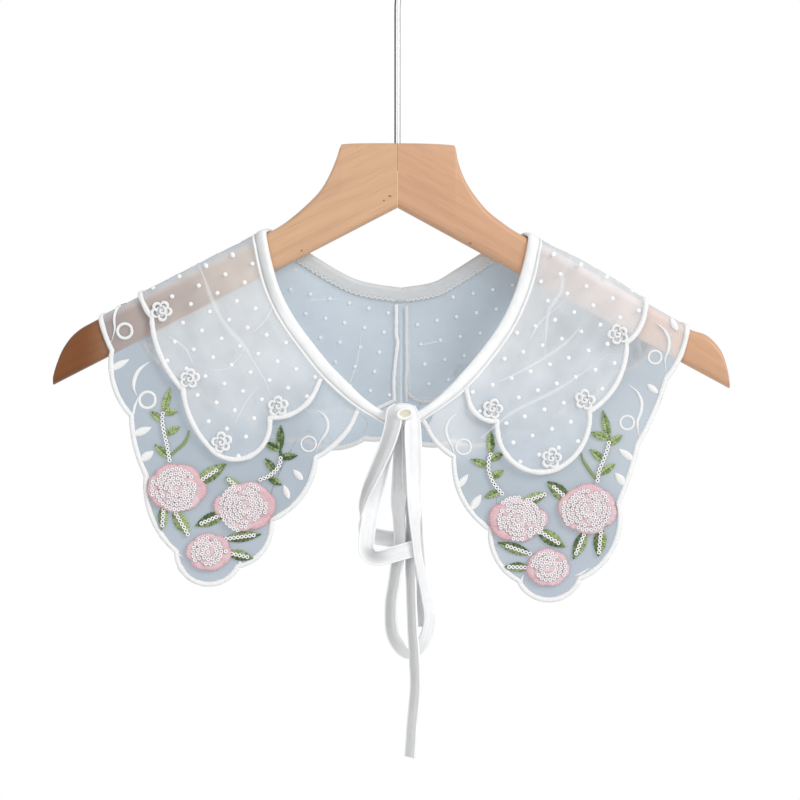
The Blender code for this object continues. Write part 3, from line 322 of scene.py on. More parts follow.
# White embroidery on the fronts, in photo pixels: tapered stems, open rings and small leaves,
# with their widths in mm
STEMS = {
    "left": [
        ([(126.5, 301.5), (119.5, 309.5), (116.5, 319), (117, 330), (113.5, 343)], 1.5),
        ([(151.5, 362), (142, 369), (137, 378), (136, 388), (139.5, 396)], 2.3),
        ([(140.5, 397), (137, 406), (135.5, 414), (134, 422)], 1.6),
        ([(318, 410.5), (325, 415), (328.5, 423), (327, 432), (320.5, 442), (317, 452)], 1.8),
        ([(171.5, 545.5), (178, 551), (187.5, 556.5)], 1.2),
        ([(241.5, 557), (241, 563.5), (240, 569)], 1.6),
        ([(145, 470.5), (149.5, 475), (154, 480)], 1.3),
    ],
    "right": [
        ([(456.8, 412), (449, 419.5), (445.5, 428.5), (447.5, 438), (452, 447), (454, 456)], 1.7),
        ([(626.4, 384.6), (635, 391.5), (639.5, 401), (639, 411), (635.5, 421), (636, 431), (638.5, 441)],
         1.9),
        ([(654, 323.8), (661.5, 329.5), (666.5, 338.5), (666.5, 349), (663, 360), (664.5, 375)], 1.8),
        ([(523.5, 571.5), (520.5, 579.5), (523, 587.5)], 1.4),
        ([(573, 574.5), (580, 571.5), (588, 566)], 1.3),
        ([(482, 522), (487.5, 528), (491, 535)], 1.3),
    ],
}
RINGS = {
    "left": [(127, 331.5, 7.4, 1.7), (149.5, 400, 8.2, 1.7), (309.5, 443.5, 7.6, 1.1)],
    "right": [(463, 446.5, 7.6, 1.2), (625.2, 422.5, 7, 1.3), (653, 357.5, 6.6, 1.3)],
}
SPRIGS = {
    "left": [
        (111.5, 370.5, 131.5, 359.5, 3), (135.5, 434.5, 153.7, 427, 3.4), (143, 460, 156, 450.5, 3.6),
        (303.5, 479, 294, 469, 2.8), (290, 497.5, 284.5, 484, 2.6),
    ],
    "right": [
        (632, 460, 616.5, 448.5, 3.2), (624, 485.5, 613, 472, 3.6), (655.5, 393, 645, 384, 2.8),
        (457.5, 486.5, 467.5, 473.5, 2.8), (470.5, 508.5, 480.5, 493.5, 3.4), (675, 331, 668, 318.5, 2.6),
    ],
}

# Pressed creases in the top collars and the back, in photo pixels, with their width in mm
CREASES = {
    "left": [
        ([(200.8, 267), (206.5, 282), (212, 297), (222.4, 319), (233, 333), (244, 344.6), (254, 361),
         (266, 381), (272, 396)], 2.1),
        ([(214, 371), (228, 369), (238, 360), (249, 346)], 0.9),
        ([(254, 333), (264, 323.5), (271, 313), (272.5, 304)], 1.1),
        ([(171, 337), (187, 349), (196, 368)], 1.2),
        ([(236, 424), (248, 401), (262, 385)], 0.9),
    ],
    "right": [
        ([(568.9, 261), (562.5, 273), (560, 291), (552, 304), (547, 313), (544.6, 336), (543.4, 360)], 2),
        ([(498, 382), (530, 366), (563.8, 343.5), (582, 323)], 1.6),
        ([(480, 438), (497, 423), (515.7, 409.6), (555, 390), (585, 370), (608.6, 353)], 1.5),
        ([(528, 341), (540, 322), (566, 300)], 1),
    ],
    "back": [
        ([(304, 299.5), (325, 298.5), (346, 296.5)], 0.8),
        ([(418, 345), (434, 341.5), (452, 340)], 0.8),
        ([(432, 402), (455, 382), (482, 364)], 1),
        ([(345, 392), (356, 366), (362, 330)], 0.9),
    ],
}

# Cords of the parted top collars as they show inside the back of the neck, in photo pixels
BACK_CORDS = {
    "left": [
        [(396.3, 303.5), (396.3, 319), (396.3, 334.4), (397.6, 342), (395.4, 361), (393.8, 380),
         (394.4, 401)],
        [(393.8, 400.5), (386, 404), (376, 409)],
    ],
    "right": [
        [(406.5, 305), (406.5, 336), (406.8, 367), (406, 380), (406.6, 402)],
        [(408, 393), (416, 399.5), (427, 401.5), (436, 399), (441.5, 395.5)],
    ],
}

# Bow: a row for each place on a strand, width across it, the way its face looks (0 to the front,
# 90 to the right), how far that face tips down, and the painted shade of its left half as it hangs.
# The first row of each is inside the knot.
KNOT_CENTRE = (3.2, -22.2, -295)
KNOT_SIZE = (7.9, 6.9, 6.4)
EYE_CENTRE = (4, -32, -294.4)
STRAND_TOP_Z = -300.5
BOW = {
    "short_loop": [
        (1, -24, -289.6, 5.6, -12, -60, 0.9), (-1.6, -28.4, -292.8, 9, -22, -14, 0.8),
        (-2.4, -29.8, -300, 9.8, -28, 0, 0.7), (-5.6, -30.2, -311, 9.6, -34, 0, 0.66),
        (-11.6, -30, -325, 8.9, -42, 0, 0.66), (-16.8, -28.6, -337, 8.7, -58, 0, 0.66),
        (-19.6, -25.6, -347, 8.7, -80, 0, 0.8), (-19, -22.4, -354.5, 8.7, -115, 0, 0.9),
        (-14, -20.3, -359.6, 8.7, -168, 0, 0.8), (-4, -20.9, -361.8, 8.7, -180, 0, 0.85),
        (7.2, -21.2, -363.2, 8.7, -180, 0), (10.2, -22.8, -364, 8.7, -225, 0),
        (11.6, -26.2, -365, 8.7, -270, 0), (10.2, -30, -366, 8.7, -315, 0),
        (6.4, -32.2, -367.2, 8.7, -360, 0), (-2, -32.4, -369.6, 8.7, -360, 4, 0.95),
        (-8.6, -32.2, -371.3, 8.7, -360, 10, 0.72), (-13.4, -31.8, -371, 8.7, -360, 14, 0.66),
        (-16.2, -31.2, -368, 8.7, -360, 8, 0.7), (-16.6, -30.8, -363.4, 8.7, -360, 0, 1),
        (-15.8, -30, -356, 8.7, -356, 0), (-13.6, -27.4, -344, 8.7, -352, 0),
        (-10.8, -24.4, -332, 8.7, -352, 0, 0.94), (-7.4, -21.8, -318, 8.4, -356, 0, 0.9),
        (-3.6, -20.6, -308, 7.4, -360, 0, 0.9), (-0.5, -20, STRAND_TOP_Z, 5, -360, 0, 0.9),
    ],
    "long_loop": [
        (2.5, -21.8, STRAND_TOP_Z, 6, 0, 0, 0.8), (1.8, -22, -312, 7.4, 0, 0, 0.86),
        (1.3, -22.4, -330, 8.6, 0, 0, 0.92), (0.6, -24, -341, 8.7, -22, 0, 0.92),
        (0.8, -25.2, -351, 8.7, -44, 0, 0.9), (1.2, -25.8, -366, 8.7, -46, 0, 0.8),
        (-1.2, -25.5, -382, 8.7, -46, 5, 0.7), (-3.6, -24.5, -399, 8.7, -45, 10, 0.68),
        (-2, -23.8, -414.5, 8.7, -35, 28, 0.75), (6, -23.6, -423.5, 8.7, 0, 48),
        (14, -24.2, -417, 8.7, 35, 28), (17.2, -25.2, -404, 8.7, 48, 10), (14.6, -27.6, -388, 8.7, 60, 0),
        (11.4, -30.2, -372, 8.7, 64, 0), (9.8, -31, -360, 8.7, 62, 0), (9.2, -31.8, -346, 8.7, 40, 0),
        (8.8, -30.4, -324, 8.7, 10, 0), (8.4, -29.8, -308, 9.4, 8, 0), (8.2, -29.4, -300, 8.6, 12, 0),
        (8.4, -27.6, -293.6, 6.4, 24, -14), (7.4, -24, -290, 4.6, 30, -60),
    ],
    "tail_long": [
        (5, -23.6, STRAND_TOP_Z, 6, 0, 0, 0.8), (6, -24.2, -314, 7.4, 0, 0, 0.86),
        (6.6, -26, -330, 8.4, -14, 0, 0.9), (7.4, -25.8, -341, 8.7, -28, 0, 0.9),
        (7.8, -25.6, -351, 8.7, -46, 0, 0.8), (7.2, -25.7, -366, 8.7, -50, 0, 0.72),
        (7.4, -28.5, -386, 8.7, -54, 0, 0.7), (8, -31.4, -406, 8.7, -54, 0, 0.7),
        (9.2, -32.4, -426, 8.7, -52, 0, 0.72), (9.6, -31.6, -442, 8.7, -52, 0, 0.75),
        (8, -30.2, -460, 8.7, -52, 0, 0.8), (6.8, -29.2, -478.5, 8.7, -52, 0, 0.8),
    ],
    "tail_short": [
        (6.2, -18.2, STRAND_TOP_Z, 5, 0, 0), (8, -18.2, -318, 6.8, 0, 0), (9, -18.4, -342, 8, 0, 0),
        (10, -18.6, -362, 8.4, 0, 0), (11.4, -20, -380, 8.6, 25, 0), (12.4, -22, -396, 8.7, 55, 0),
        (12.6, -23, -409, 8.7, 60, 0),
    ],
}
BOW_NODES = {
    "short_loop": "bow_short_loop", "long_loop": "bow_long_loop",
    "tail_long": "ribbon_tail_long", "tail_short": "ribbon_tail_short",
}

# Colours, linear. The wall behind the photographed collar is blue-grey where it shows through.
WALL_SEEN_THROUGH = (0.45, 0.53, 0.61)
AMBIENT = 0.70
UNDER_ALPHA = 0.55
TOP_ALPHA = 0.50
PINK = (0.83, 0.47, 0.52)
PALE_PINK = (0.94, 0.80, 0.83)
ROSE_GROUND = (1, 0.64, 0.70)
DARK_GREEN = (0.055, 0.125, 0.035)
LIGHT_GREEN = (0.50, 0.62, 0.27)
WHITE = (0.97, 0.975, 0.98)
# Painted light: the cloth is paler over the top of each arm, less so on the left.
CREST_PAINTED_LIGHT = {"left": (0.80, 0.84, 0.88), "right": (0.97, 0.985, 1.0)}
# Painted shade of the tape across the back of the neck.
BACK_TAPE_PAINTED_SHADE = (0.76, 0.79, 0.81)
WARM = {"left": (0.645, 0.395, 0.235), "right": (0.64, 0.385, 0.235)}
# Painted shade towards the tip of the left arm.
ARM_TIP_PAINTED_SHADE = (0.29, 0.135, 0.015)
RIGHT_ARM_TINT = (0.99, 0.95, 0.93)
WIRE_SIDES = 20

# Sections: share across and height. A stitched line, a crease by shade, and the flat ribbon
ROUND = ((-1.0, -0.25), (-0.86, 0.45), (-0.45, 0.88), (0.0, 1.0), (0.45, 0.88), (0.86, 0.45), (1.0, -0.25))
CREASE_SHADES = ((-1.0, 0.80), (-0.5, 0.88), (-0.12, 1.0), (0.12, 1.0), (0.5, 0.88), (1.0, 0.80))
RIBBON_EDGE = [(0.99, 0.85), (0.92, 1.25), (0.83, 0.95), (0.78, 0.50), (0.4, 0.80), (0.0, 0.90)]
RIBBON_FRONT = RIBBON_EDGE + [(-a, b) for a, b in RIBBON_EDGE[-2::-1]]
RIBBON_SECTION = [(-1.0, 0.0), *((-a, -b) for a, b in RIBBON_FRONT), (1.0, 0.0), *RIBBON_FRONT]
SELVAGE = 0.82
GROUND_PROFILE = ((1.0, -0.35, PINK), (0.985, 0.05, ROSE_GROUND), (0.6, 0.12, ROSE_GROUND))

# The folded tape: distance in from the seam, height, painted shade (darker in the groove and underneath), and
# how much the painted shade on the upper part of the left tape dims each place
TAPE_PROFILE = (
    (0.30, -0.1, 0.9, 0.0), (0.34, 1.2, 0.93, 0.0), (0.70, 2.15, 0.97, 0.0), (1.25, 2.45, 1.0, 0.0),
    (1.80, 2.15, 0.93, 0.0), (2.10, 1.75, 0.74, 0.2), (2.40, 1.8, 0.74, 0.25), (2.75, 2.25, 0.93, 0.3),
    (3.6, 2.55, 0.97, 0.3), (4.9, 2.75, 1.0, 0.27), (6.4, 2.6, 1.0, 0.15), (7.7, 2.15, 1.0, 0.0),
    (8.4, 1.5, 1.0, 0.0), (8.7, 0.8, 0.97, 0.0), (8.6, 0.1, 0.9, 0.0), (6.0, -0.15, 0.85, 0.0),
    (3.0, -0.2, 0.85, 0.0),
)
Stitch = namedtuple("Stitch", "end middle height base way")
FRONT_STITCH = Stitch(0.14, 0.2, 0.35, 1.55, 1)
BACK_STITCH = Stitch(0.22, 0.3, 0.4, -0.25, -1)

# The floor, in metres
FLOOR_Z = -0.60
FLOOR_RADIUS = 0.75


def at(px, py):
    """A place in photo pixels, in millimetres."""
    return (px - MIDDLE_PX) * PIXEL, TOP_Z - (py - TOP_PX) * PIXEL


def ease(value):
    value = max(0.0, min(1.0, value))
    return value * value * (3.0 - 2.0 * value)


def blend(a, b, part):
    return tuple(p + (q - p) * part for p, q in zip(a, b))


def wobble(x, y, scale, seed=0.0):
    """Smooth noise between about -1 and 1."""
    return noise.noise(Vector((x / scale, y / scale, seed)))


def beside(rows, index, reach=1):
    """The rows before and after one, or the end rows."""
    return rows[max(index - reach, 0)], rows[min(index + reach, len(rows) - 1)]


def lengths_of(points):
    """Length along a line up to each of its points."""
    lengths = [0.0]
    for a, b in zip(points, points[1:]):
        lengths.append(lengths[-1] + dist(a, b))
    return lengths


def circle(count, radius=1.0):
    return [(radius * cos(2 * pi * k / count), radius * sin(2 * pi * k / count)) for k in range(count)]


def catmull(rows, steps):
    """A smooth line through rows of numbers, with some steps from each to the next."""
    points = []
    for index in range(len(rows) - 1):
        before, start = rows[max(index - 1, 0)], rows[index]
        end, after = rows[index + 1], rows[min(index + 2, len(rows) - 1)]
        for t in (step / steps for step in range(steps)):
            points.append(tuple(
                0.5 * (2 * b + (c - a) * t + (2 * a - 5 * b + 4 * c - d) * t * t
                       + (3 * b - a - 3 * c + d) * t ** 3)
                for a, b, c, d in zip(before, start, end, after)))
    return points + [tuple(rows[-1])]


def smooth_px(pixels, steps):
    return catmull([at(*pixel) for pixel in pixels], steps)


# Forms of the draped cloth
def hanger_bow(x):
    return -HANGER_BOW * (x / HANGER_HALF_SPAN) ** 2


def standoff(x, z, face):
    """How far a panel hangs out from the plane of the arms."""
    stand = FRONT_STAND if face > 0 else BACK_STAND
    slope = tan(radians(SHOULDER_LINE_SLOPE))
    drop = max(0.0, SHOULDER_LINE_Z - slope * sqrt(x * x + SHOULDER_LINE_BEND ** 2) - z)
    centre = exp(-(x / stand.half_width) ** 2)
    middle = stand.middle * ease(drop / stand.middle_drop) * centre
    return middle + stand.side * ease(drop / stand.side_drop) * (1 - centre)


def fold_axes(side):
    """Start of the fold over an arm, and the ways along it and across it."""
    slope = radians(side.slope)
    start = (side.sign * side.fold_x, side.fold_z)
    return start, (side.sign * cos(slope), -sin(slope)), (-side.sign * sin(slope), -cos(slope))


def fold_place(side, x, z):
    """Run along the fold and drop below it, as seen from the front."""
    start, along, across = fold_axes(side)
    dx, dz = x - start[0], z - start[1]
    return dx * along[0] + dz * along[1], dx * across[0] + dz * across[1]


def to_sheet(side, face, x, z):
    """Unroll a place seen from the front: run along the fold, and reach from it over the arm."""
    run, drop = fold_place(side, x, z)
    if face == 0:
        return run, 0.0
    drop = max(0.0, drop)
    if drop < WRAP_RADIUS:
        return run, face * (WRAP_FLAT + WRAP_RADIUS * acos(1.0 - drop / WRAP_RADIUS))
    return run, face * (WRAP_END + drop - WRAP_RADIUS)


def place(side, run, reach, lift):
    """The point of the draped cloth at run and reach, moved out of the wood by lift."""
    start, along, across = fold_axes(side)
    face = 1 if reach >= 0 else -1
    reach = abs(reach)
    if reach < WRAP_FLAT:
        drop, depth = -lift, reach
    elif reach < WRAP_END:
        turn = (reach - WRAP_FLAT) / WRAP_RADIUS
        drop = WRAP_RADIUS - (WRAP_RADIUS + lift) * cos(turn)
        depth = WRAP_FLAT + (WRAP_RADIUS + lift) * sin(turn)
    else:
        drop, depth = WRAP_RADIUS + reach - WRAP_END, PANEL_DEPTH + lift
    x = start[0] + run * along[0] + drop * across[0]
    z = start[1] + run * along[1] + drop * across[1]
    return Vector((x, hanger_bow(x) - face * (depth + standoff(x, z, face)), z)) * MM


def on_panel(side, face=1, lift=WALL / 2):
    """Mapping from a place in a panel and a height over it to a point."""
    return lambda x, z, height: place(side, *to_sheet(side, face, x, z), lift + height)


def arc(start, end, bulge, steps):
    """Places along an arc that bulges out of its chord."""
    chord = dist(start, end)
    along = ((end[0] - start[0]) / chord, (end[1] - start[1]) / chord)
    radius = ((chord / 2) ** 2 + bulge * bulge) / (2 * bulge) if bulge >= 0.05 else None
    points = []
    for share in (step / steps for step in range(steps)):
        part, rise = chord * share, 0.0
        if radius:
            angle = asin(min(1.0, chord / 2 / radius)) * (2 * share - 1)
            part, rise = chord / 2 + radius * sin(angle), radius * cos(angle) - (radius - bulge)
        points.append((start[0] + along[0] * part + along[1] * rise,
                       start[1] + along[1] * part - along[0] * rise))
    return points


class NeckSeam:
    """The neck seam of one half, read by its share of length or where it crosses a reach."""

    def __init__(self, side):
        self.points = catmull([to_sheet(side, *row) for row in NECK[side.name]], 8)
        self.lengths = lengths_of(self.points)

    def at_share(self, share):
        target = share * self.lengths[-1]
        for index in range(1, len(self.points)):
            low, high = self.lengths[index - 1:index + 1]
            if high >= target or index == len(self.points) - 1:
                return blend(self.points[index - 1], self.points[index], (target - low) / (high - low))

    def share_at_reach(self, reach):
        for index, (low, high) in enumerate(zip(self.points, self.points[1:])):
            if low[1] <= reach <= high[1]:
                part = (reach - low[1]) / (high[1] - low[1])
                length = self.lengths[index] + part * (self.lengths[index + 1] - self.lengths[index])
                return length / self.lengths[-1]
        return 1.0

    def inward(self, share):
        """The way from the seam over the tape."""
        a, b = self.at_share(max(0.0, share - 0.01)), self.at_share(min(1.0, share + 0.01))
        size = dist(a, b)
        free = ease((abs(self.at_share(share)[1]) - WRAP_END) / BINDING_TURN)
        return blend((-1.0, 0.0), ((a[1] - b[1]) / size, (b[0] - a[0]) / size), free)


SEAMS = {side.name: NeckSeam(side) for side in SIDES}


def edge_curve(side, cusps):
    """The scalloped edge as places with their share of the neck seam."""
    rows = [to_sheet(side, cusp.face, cusp.x, cusp.z) for cusp in cusps]
    curve = []
    for start, end, cusp, following in zip(rows, rows[1:], cusps, cusps[1:]):
        steps = max(2, ceil((dist(start, end) + 1.6 * cusp.bulge) / RIB_STEP))
        curve += [(point, cusp.share + (following.share - cusp.share) * step / steps)
                  for step, point in enumerate(arc(start, end, cusp.bulge, steps))]
    return curve + [(rows[-1], cusps[-1].share)]


def spread(points, start, direction):
    """Spaces out the shares that lie too near the start."""
    count = sum(direction * (share - start) < RIB_SPREAD for _, share in points)
    if count == len(points):
        return points
    end = points[count][1]
    return [(point, start + (end - start) * (index + 1) / (count + 1))
            for index, (point, _) in enumerate(points[:count])] + points[count:]


def collar_ribs(side, cusps):
    """Ribs of one collar half from the neck seam to the edge."""
    seam = SEAMS[side.name]
    turned = [WRAP_FLAT + WRAP_RADIUS * pi / 2 * step / WRAP_STEPS for step in range(WRAP_STEPS + 1)]
    reaches = [-reach for reach in reversed(turned)] + [0.0] + turned
    curve = edge_curve(side, cusps)
    back = [(point, share) for point, share in curve if point[1] < reaches[0] - 0.5]
    front = [(point, share) for point, share in curve if point[1] > reaches[-1] + 0.5]
    back = spread(back[::-1], seam.share_at_reach(reaches[0]), -1)[::-1]
    front = spread(front, seam.share_at_reach(reaches[-1]), 1)
    middle = []
    for reach in reaches:
        for (a, _), (b, _) in zip(curve, curve[1:]):
            if a[1] <= reach <= b[1] and a[1] < b[1]:
                middle.append((blend(a, b, (reach - a[1]) / (b[1] - a[1])), seam.share_at_reach(reach)))
                break
    return bent_ribs([(seam.at_share(share), point) for point, share in back + middle + front])


def bent_ribs(pairs):
    """Ribs that leave the neck straight and meet the scalloped edge squarely: neck, bend, edge."""
    ribs = []
    for index, (neck, edge) in enumerate(pairs):
        before, after = (pair[1] for pair in beside(pairs, index, EDGE_SMOOTH))
        size, length = dist(before, after), dist(neck, edge)
        straight = ((edge[0] - neck[0]) / length, (edge[1] - neck[1]) / length)
        square = ((after[1] - before[1]) / size, (before[0] - after[0]) / size)
        inner = min(index, len(pairs) - 1 - index)
        free = ease((abs(edge[1]) - 20.0) / 30.0) * ease(length / 45.0) * ease(inner / 9.0)
        arrive = blend(straight, square, free)
        near = min(length * 0.33, EDGE_BEND)
        ribs.append((neck, (edge[0] - arrive[0] * near, edge[1] - arrive[1] * near), edge))
    return ribs


def rib_point(rib, share):
    """A place on a rib between its neck end (0) and the edge (1)."""
    neck, bend, edge = rib
    rest = 1.0 - share
    return tuple(rest ** 3 * a + 3 * rest * rest * share * b + 3 * rest * share * share * c + share ** 3 * d
                 for a, b, c, d in zip(neck, blend(neck, bend, 0.4), bend, edge))


def ripple(run, reach):
    """Soft unevenness of hanging cloth, none where it lies on the arm."""
    free = ease((abs(reach) - 30.0) / 40.0)
    return free * (0.22 * wobble(run, reach, 17.0, 3.0) + 0.14 * wobble(run, reach, 8.0, 9.0))


def under_lift(side, run, reach, distance):
    """Lift of the under collar, the same on both sides and at any distance from the neck."""
    return WALL / 2 + ripple(run, reach)


def top_lift(side, run, reach, distance):
    """Lift of the top collar, more beside the shoulder and towards its edge."""
    flare = TOP_FLARE * ease(distance / TOP_FLARE_RUN) * ease((abs(reach) - WRAP_END) / TOP_FLARE_RUN)
    shoulder = side.lift * sin(pi * min(distance / SHOULDER_RUN, 1.0)) * exp(-(reach / SHOULDER_REACH) ** 2)
    pucker = 0.22 * sin(run * 0.55) * exp(-distance / 18.0)
    return TOP_LIFT + flare + shoulder + WALL / 2 + 1.3 * ripple(run, reach + 50.0) + pucker


# Meshes
def paint(mesh, name, colours):
    layer = mesh.color_attributes.new(name, "FLOAT_COLOR", "POINT")
    for index, colour in enumerate(colours):
        layer.data[index].color = colour


class Work:
    """Collects cells, each a point, its place in the weave and its tint, into one mesh."""

    def __init__(self):
        self.cells = []
        self.faces = []
        self.slots = []

    def face(self, corners, flip, slot):
        self.faces.append(corners[::-1] if flip else corners)
        self.slots.append(slot)

    def grid(self, rows, closed=False, flip=False):
        """Rows of equal count, joined into quads; closed joins the last column to the first."""
        base, count = len(self.cells), len(rows[0])
        self.cells += [cell for row in rows for cell in row]
        for low in range(base, base + count * (len(rows) - 1), count):
            for c in range(count if closed else count - 1):
                following = (c + 1) % count
                self.face((low + c, low + following, low + count + following, low + count + c), flip, 0)

    def cap(self, row, tint, flip=False, centre=None, uv=(0.0, 0.0), slot=0):
        """Closes a row of cells or points with a fan round its middle."""
        ring = [cell if isinstance(cell, Vector) else cell[0] for cell in row]
        base, count = len(self.cells), len(ring)
        self.cells += [(point, uv, tint) for point in (*ring, centre or sum(ring, Vector()) / count)]
        for k in range(count):
            self.face((base + k, base + (k + 1) % count, base + count), flip, slot)

    def build(self, name, *materials):
        mesh = bpy.data.meshes.new(name)
        mesh.from_pydata([point for point, _, _ in self.cells], [], self.faces)
        for made in materials:
            mesh.materials.append(made)
        layer = mesh.uv_layers.new(name="UVMap")
        for loop in mesh.loops:
            layer.data[loop.index].uv = self.cells[loop.vertex_index][1]
        paint(mesh, "tint", [(*tint, 1.0) for _, _, tint in self.cells])
        for polygon, slot in zip(mesh.polygons, self.slots):
            polygon.material_index = slot
            polygon.use_smooth = True
        mesh.update()
        obj = bpy.data.objects.new(name, mesh)
        bpy.context.scene.collection.objects.link(obj)
        return obj

    def piece(self, name, slot, *materials, node=None):
        """The built work on the root body, with its materials, in place of a solid; the slot name it is given
        is not used.
        """
        obj = self.build(name, *materials)
        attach(obj, "root")
        if node:
            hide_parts(node)
        return obj


def sweep(work, points, halves, put, section):
    """A band along points: for a half width, the section gives share across, height and tint."""
    rows = []
    for index, ((x, z), half, length) in enumerate(zip(points, halves, lengths_of(points))):
        before, after = beside(points, index)
        size = dist(before, after) or 1.0
        dx, dz = (before[1] - after[1]) / size * half, (after[0] - before[0]) / size * half
        rows.append([(put(x + dx * a, z + dz * a, height), (length, half * a), tint)
                     for a, height, tint in section(half)])
    work.grid(rows)


def stroke(work, points, halves, height, put, tint=FULL, base=0.0):
    """A stitched line along points, domed across, of the given half widths."""
    sweep(work, points, halves, put,
          lambda half: [(a, base + height * min(1.0, half / 0.5) * b, tint) for a, b in ROUND])


def strip(work, points, width, put, height):
    """A soft-edged pale band along a crease, raised a little at its middle."""
    halves = [1.5 * half for half in taper(len(points), width / 2, 0.3, 0.15)]
    section = [(a, height + 0.3 * (1 - abs(a)), (shade, shade + 0.02 * (1 - abs(a)), min(1.0, shade + 0.03)))
               for a, shade in CREASE_SHADES]
    sweep(work, points, halves, put, lambda half: section)


def taper(count, half, start=0.25, end=0.12):
    """Half widths that swell in the middle."""
    widths = []
    for share in (index / (count - 1) for index in range(count)):
        rise = start + (1 - start) * ease(share / 0.35)
        fall = end + (1 - end) * ease((1 - share) / 0.45)
        widths.append(half * min(1.0, rise, fall))
    return widths


def sequin(work, x, z, height, put, seed, hole_painted_shade):
    """A small cupped ring with a dark hole of painted shade."""
    tilt_x = 0.10 * wobble(seed, 1.7, 1.0, 5.0)
    tilt_z = 0.10 * wobble(seed, 7.3, 1.0, 2.0)
    shine = 1.0 - 0.10 * abs(wobble(seed, 3.1, 1.0, 8.0))
    rows = [[(put(x + dx, z + dz, height + rise + tilt_x * dx + tilt_z * dz), (seed, radius), (shine,) * 3)
             for dx, dz in circle(SEQUIN_SIDES, radius)] for radius, rise in SEQUIN_PROFILE]
    work.grid(rows, closed=True)
    work.cap(rows[-1], hole_painted_shade, False, put(x, z, height), (seed, 0.0), 1)


def along(points, step):
    """Places at even steps along a line."""
    places, left = [], 0.0
    for a, b in zip(points, points[1:]):
        span = dist(a, b)
        while left < span:
            places.append(blend(a, b, left / span))
            left += step
        left -= span
    return places


# Materials
def node(tree, kind, output, inputs=None, **attributes):
    """The output of a new shader node whose inputs are linked or set."""
    made = tree.nodes.new("ShaderNode" + kind)
    for name, value in attributes.items():
        setattr(made, name, value)
    for name, value in (inputs or {}).items():
        if isinstance(value, bpy.types.NodeSocket):
            tree.links.new(value, made.inputs[name])
        else:
            made.inputs[name].default_value = value
    return made.outputs[output]


def new_material(name, **settings):
    """A material, its nodes and its shader, with constant values on the shader's own sockets."""
    made = bpy.data.materials.new(name)
    made.use_nodes = True
    shader = made.node_tree.nodes["Principled BSDF"]
    for socket, value in settings.items():
        shader.inputs[socket.replace("_", " ")].default_value = value
    return made, made.node_tree, shader


def mapped(tree, vector, scale=(1.0, 1.0, 1.0), rotation=(0.0, 0.0, 0.0)):
    return node(tree, "Mapping", "Vector", {"Vector": vector, "Scale": scale, "Rotation": rotation})


def coords(tree, kind="UV", scale=(1.0, 1.0, 1.0), rotation=(0.0, 0.0, 0.0)):
    return mapped(tree, node(tree, "TexCoord", kind), scale, rotation)


def wave(tree, vector, scale, distortion=0.0, detail_scale=1.0):
    values = {"Vector": vector, "Scale": scale, "Distortion": distortion, "Detail Scale": detail_scale}
    return node(tree, "TexWave", "Fac", values, wave_type="BANDS", bands_direction="X")


def cloud(tree, vector, scale, detail=3.0, roughness=0.5):
    values = {"Vector": vector, "Scale": scale, "Detail": detail, "Roughness": roughness}
    return node(tree, "TexNoise", "Fac", values)


def combine(tree, operation, a, b, clamp=False):
    return node(tree, "Math", "Value", {0: a, 1: b}, operation=operation, use_clamp=clamp)


def tint_of(tree):
    return node(tree, "Attribute", "Color", attribute_name="tint")


def ramp(tree, value, *stops):
    """A colour ramp; a stop's colour may be one level of grey."""
    made = tree.nodes.new("ShaderNodeValToRGB")
    elements = made.color_ramp.elements
    for index, (position, colour) in enumerate(stops):
        element = elements[index] if index < 2 else elements.new(position)
        element.position = position
        element.color = (*colour, 1.0) if isinstance(colour, tuple) else (colour, colour, colour, 1.0)
    tree.links.new(value, made.inputs["Fac"])
    return made.outputs["Color"]


def colour_by(tree, shader, product, *factors):
    """Gives the product of its factors to the shader's base colour."""
    for factor in factors:
        product = node(tree, "Mix", "Result", {"Factor": 1.0, "A": product, "B": factor},
                       data_type="RGBA", blend_type="MULTIPLY")
    tree.links.new(product, shader.inputs["Base Color"])


def bump(tree, shader, height, strength, distance):
    values = {"Strength": strength, "Distance": distance, "Height": height}
    tree.links.new(node(tree, "Bump", "Normal", values), shader.inputs["Normal"])


def organza(name, alpha, on_wood=True):
    """Plain sheer weave: the tint of each place, which on the collars holds painted light and shade, a fine
    even grid of threads, a faint sheen.
    """
    made, tree, shader = new_material(name, Roughness=0.5, Alpha=alpha, Sheen_Weight=0.12,
                                      Sheen_Roughness=0.4, Specular_IOR_Level=0.25)
    warp = wave(tree, coords(tree), 0.9)
    weft = wave(tree, coords(tree, rotation=(0.0, 0.0, pi / 2)), 0.9)
    threads = combine(tree, "MULTIPLY", warp, weft)
    grid = ramp(tree, threads, (0.0, 0.93), (0.8, 1.0))
    haze = ramp(tree, cloud(tree, coords(tree), 0.035, 2.0), (0.3, (0.92, 0.92, 0.93)), (0.7, 1.0))
    colour_by(tree, shader, over_wood(tree) if on_wood else tint_of(tree), grid, haze)
    bump(tree, shader, threads, 0.12, 0.00015)
    made.surface_render_method = "BLENDED"
    return made


def over_wood(tree):
    """The tint beyond the arm's lower edge and the warmer one over the wood, both holding painted light and
    shade, with a clear line between.
    """
    across = node(tree, "SeparateXYZ", "Y", {"Vector": node(tree, "TexCoord", "UV")})
    edge = node(tree, "Attribute", "Alpha", attribute_name="over_wood")
    past = combine(tree, "SUBTRACT", node(tree, "Math", "Value", {0: across}, operation="ABSOLUTE"), edge)
    level = node(tree, "MapRange", "Result", {"Value": past, "From Min": -0.7, "From Max": 0.7},
                 interpolation_type="SMOOTHSTEP")
    warm = node(tree, "Attribute", "Color", attribute_name="over_wood")
    return node(tree, "Mix", "Result", {"Factor": level, "A": warm, "B": tint_of(tree)}, data_type="RGBA")


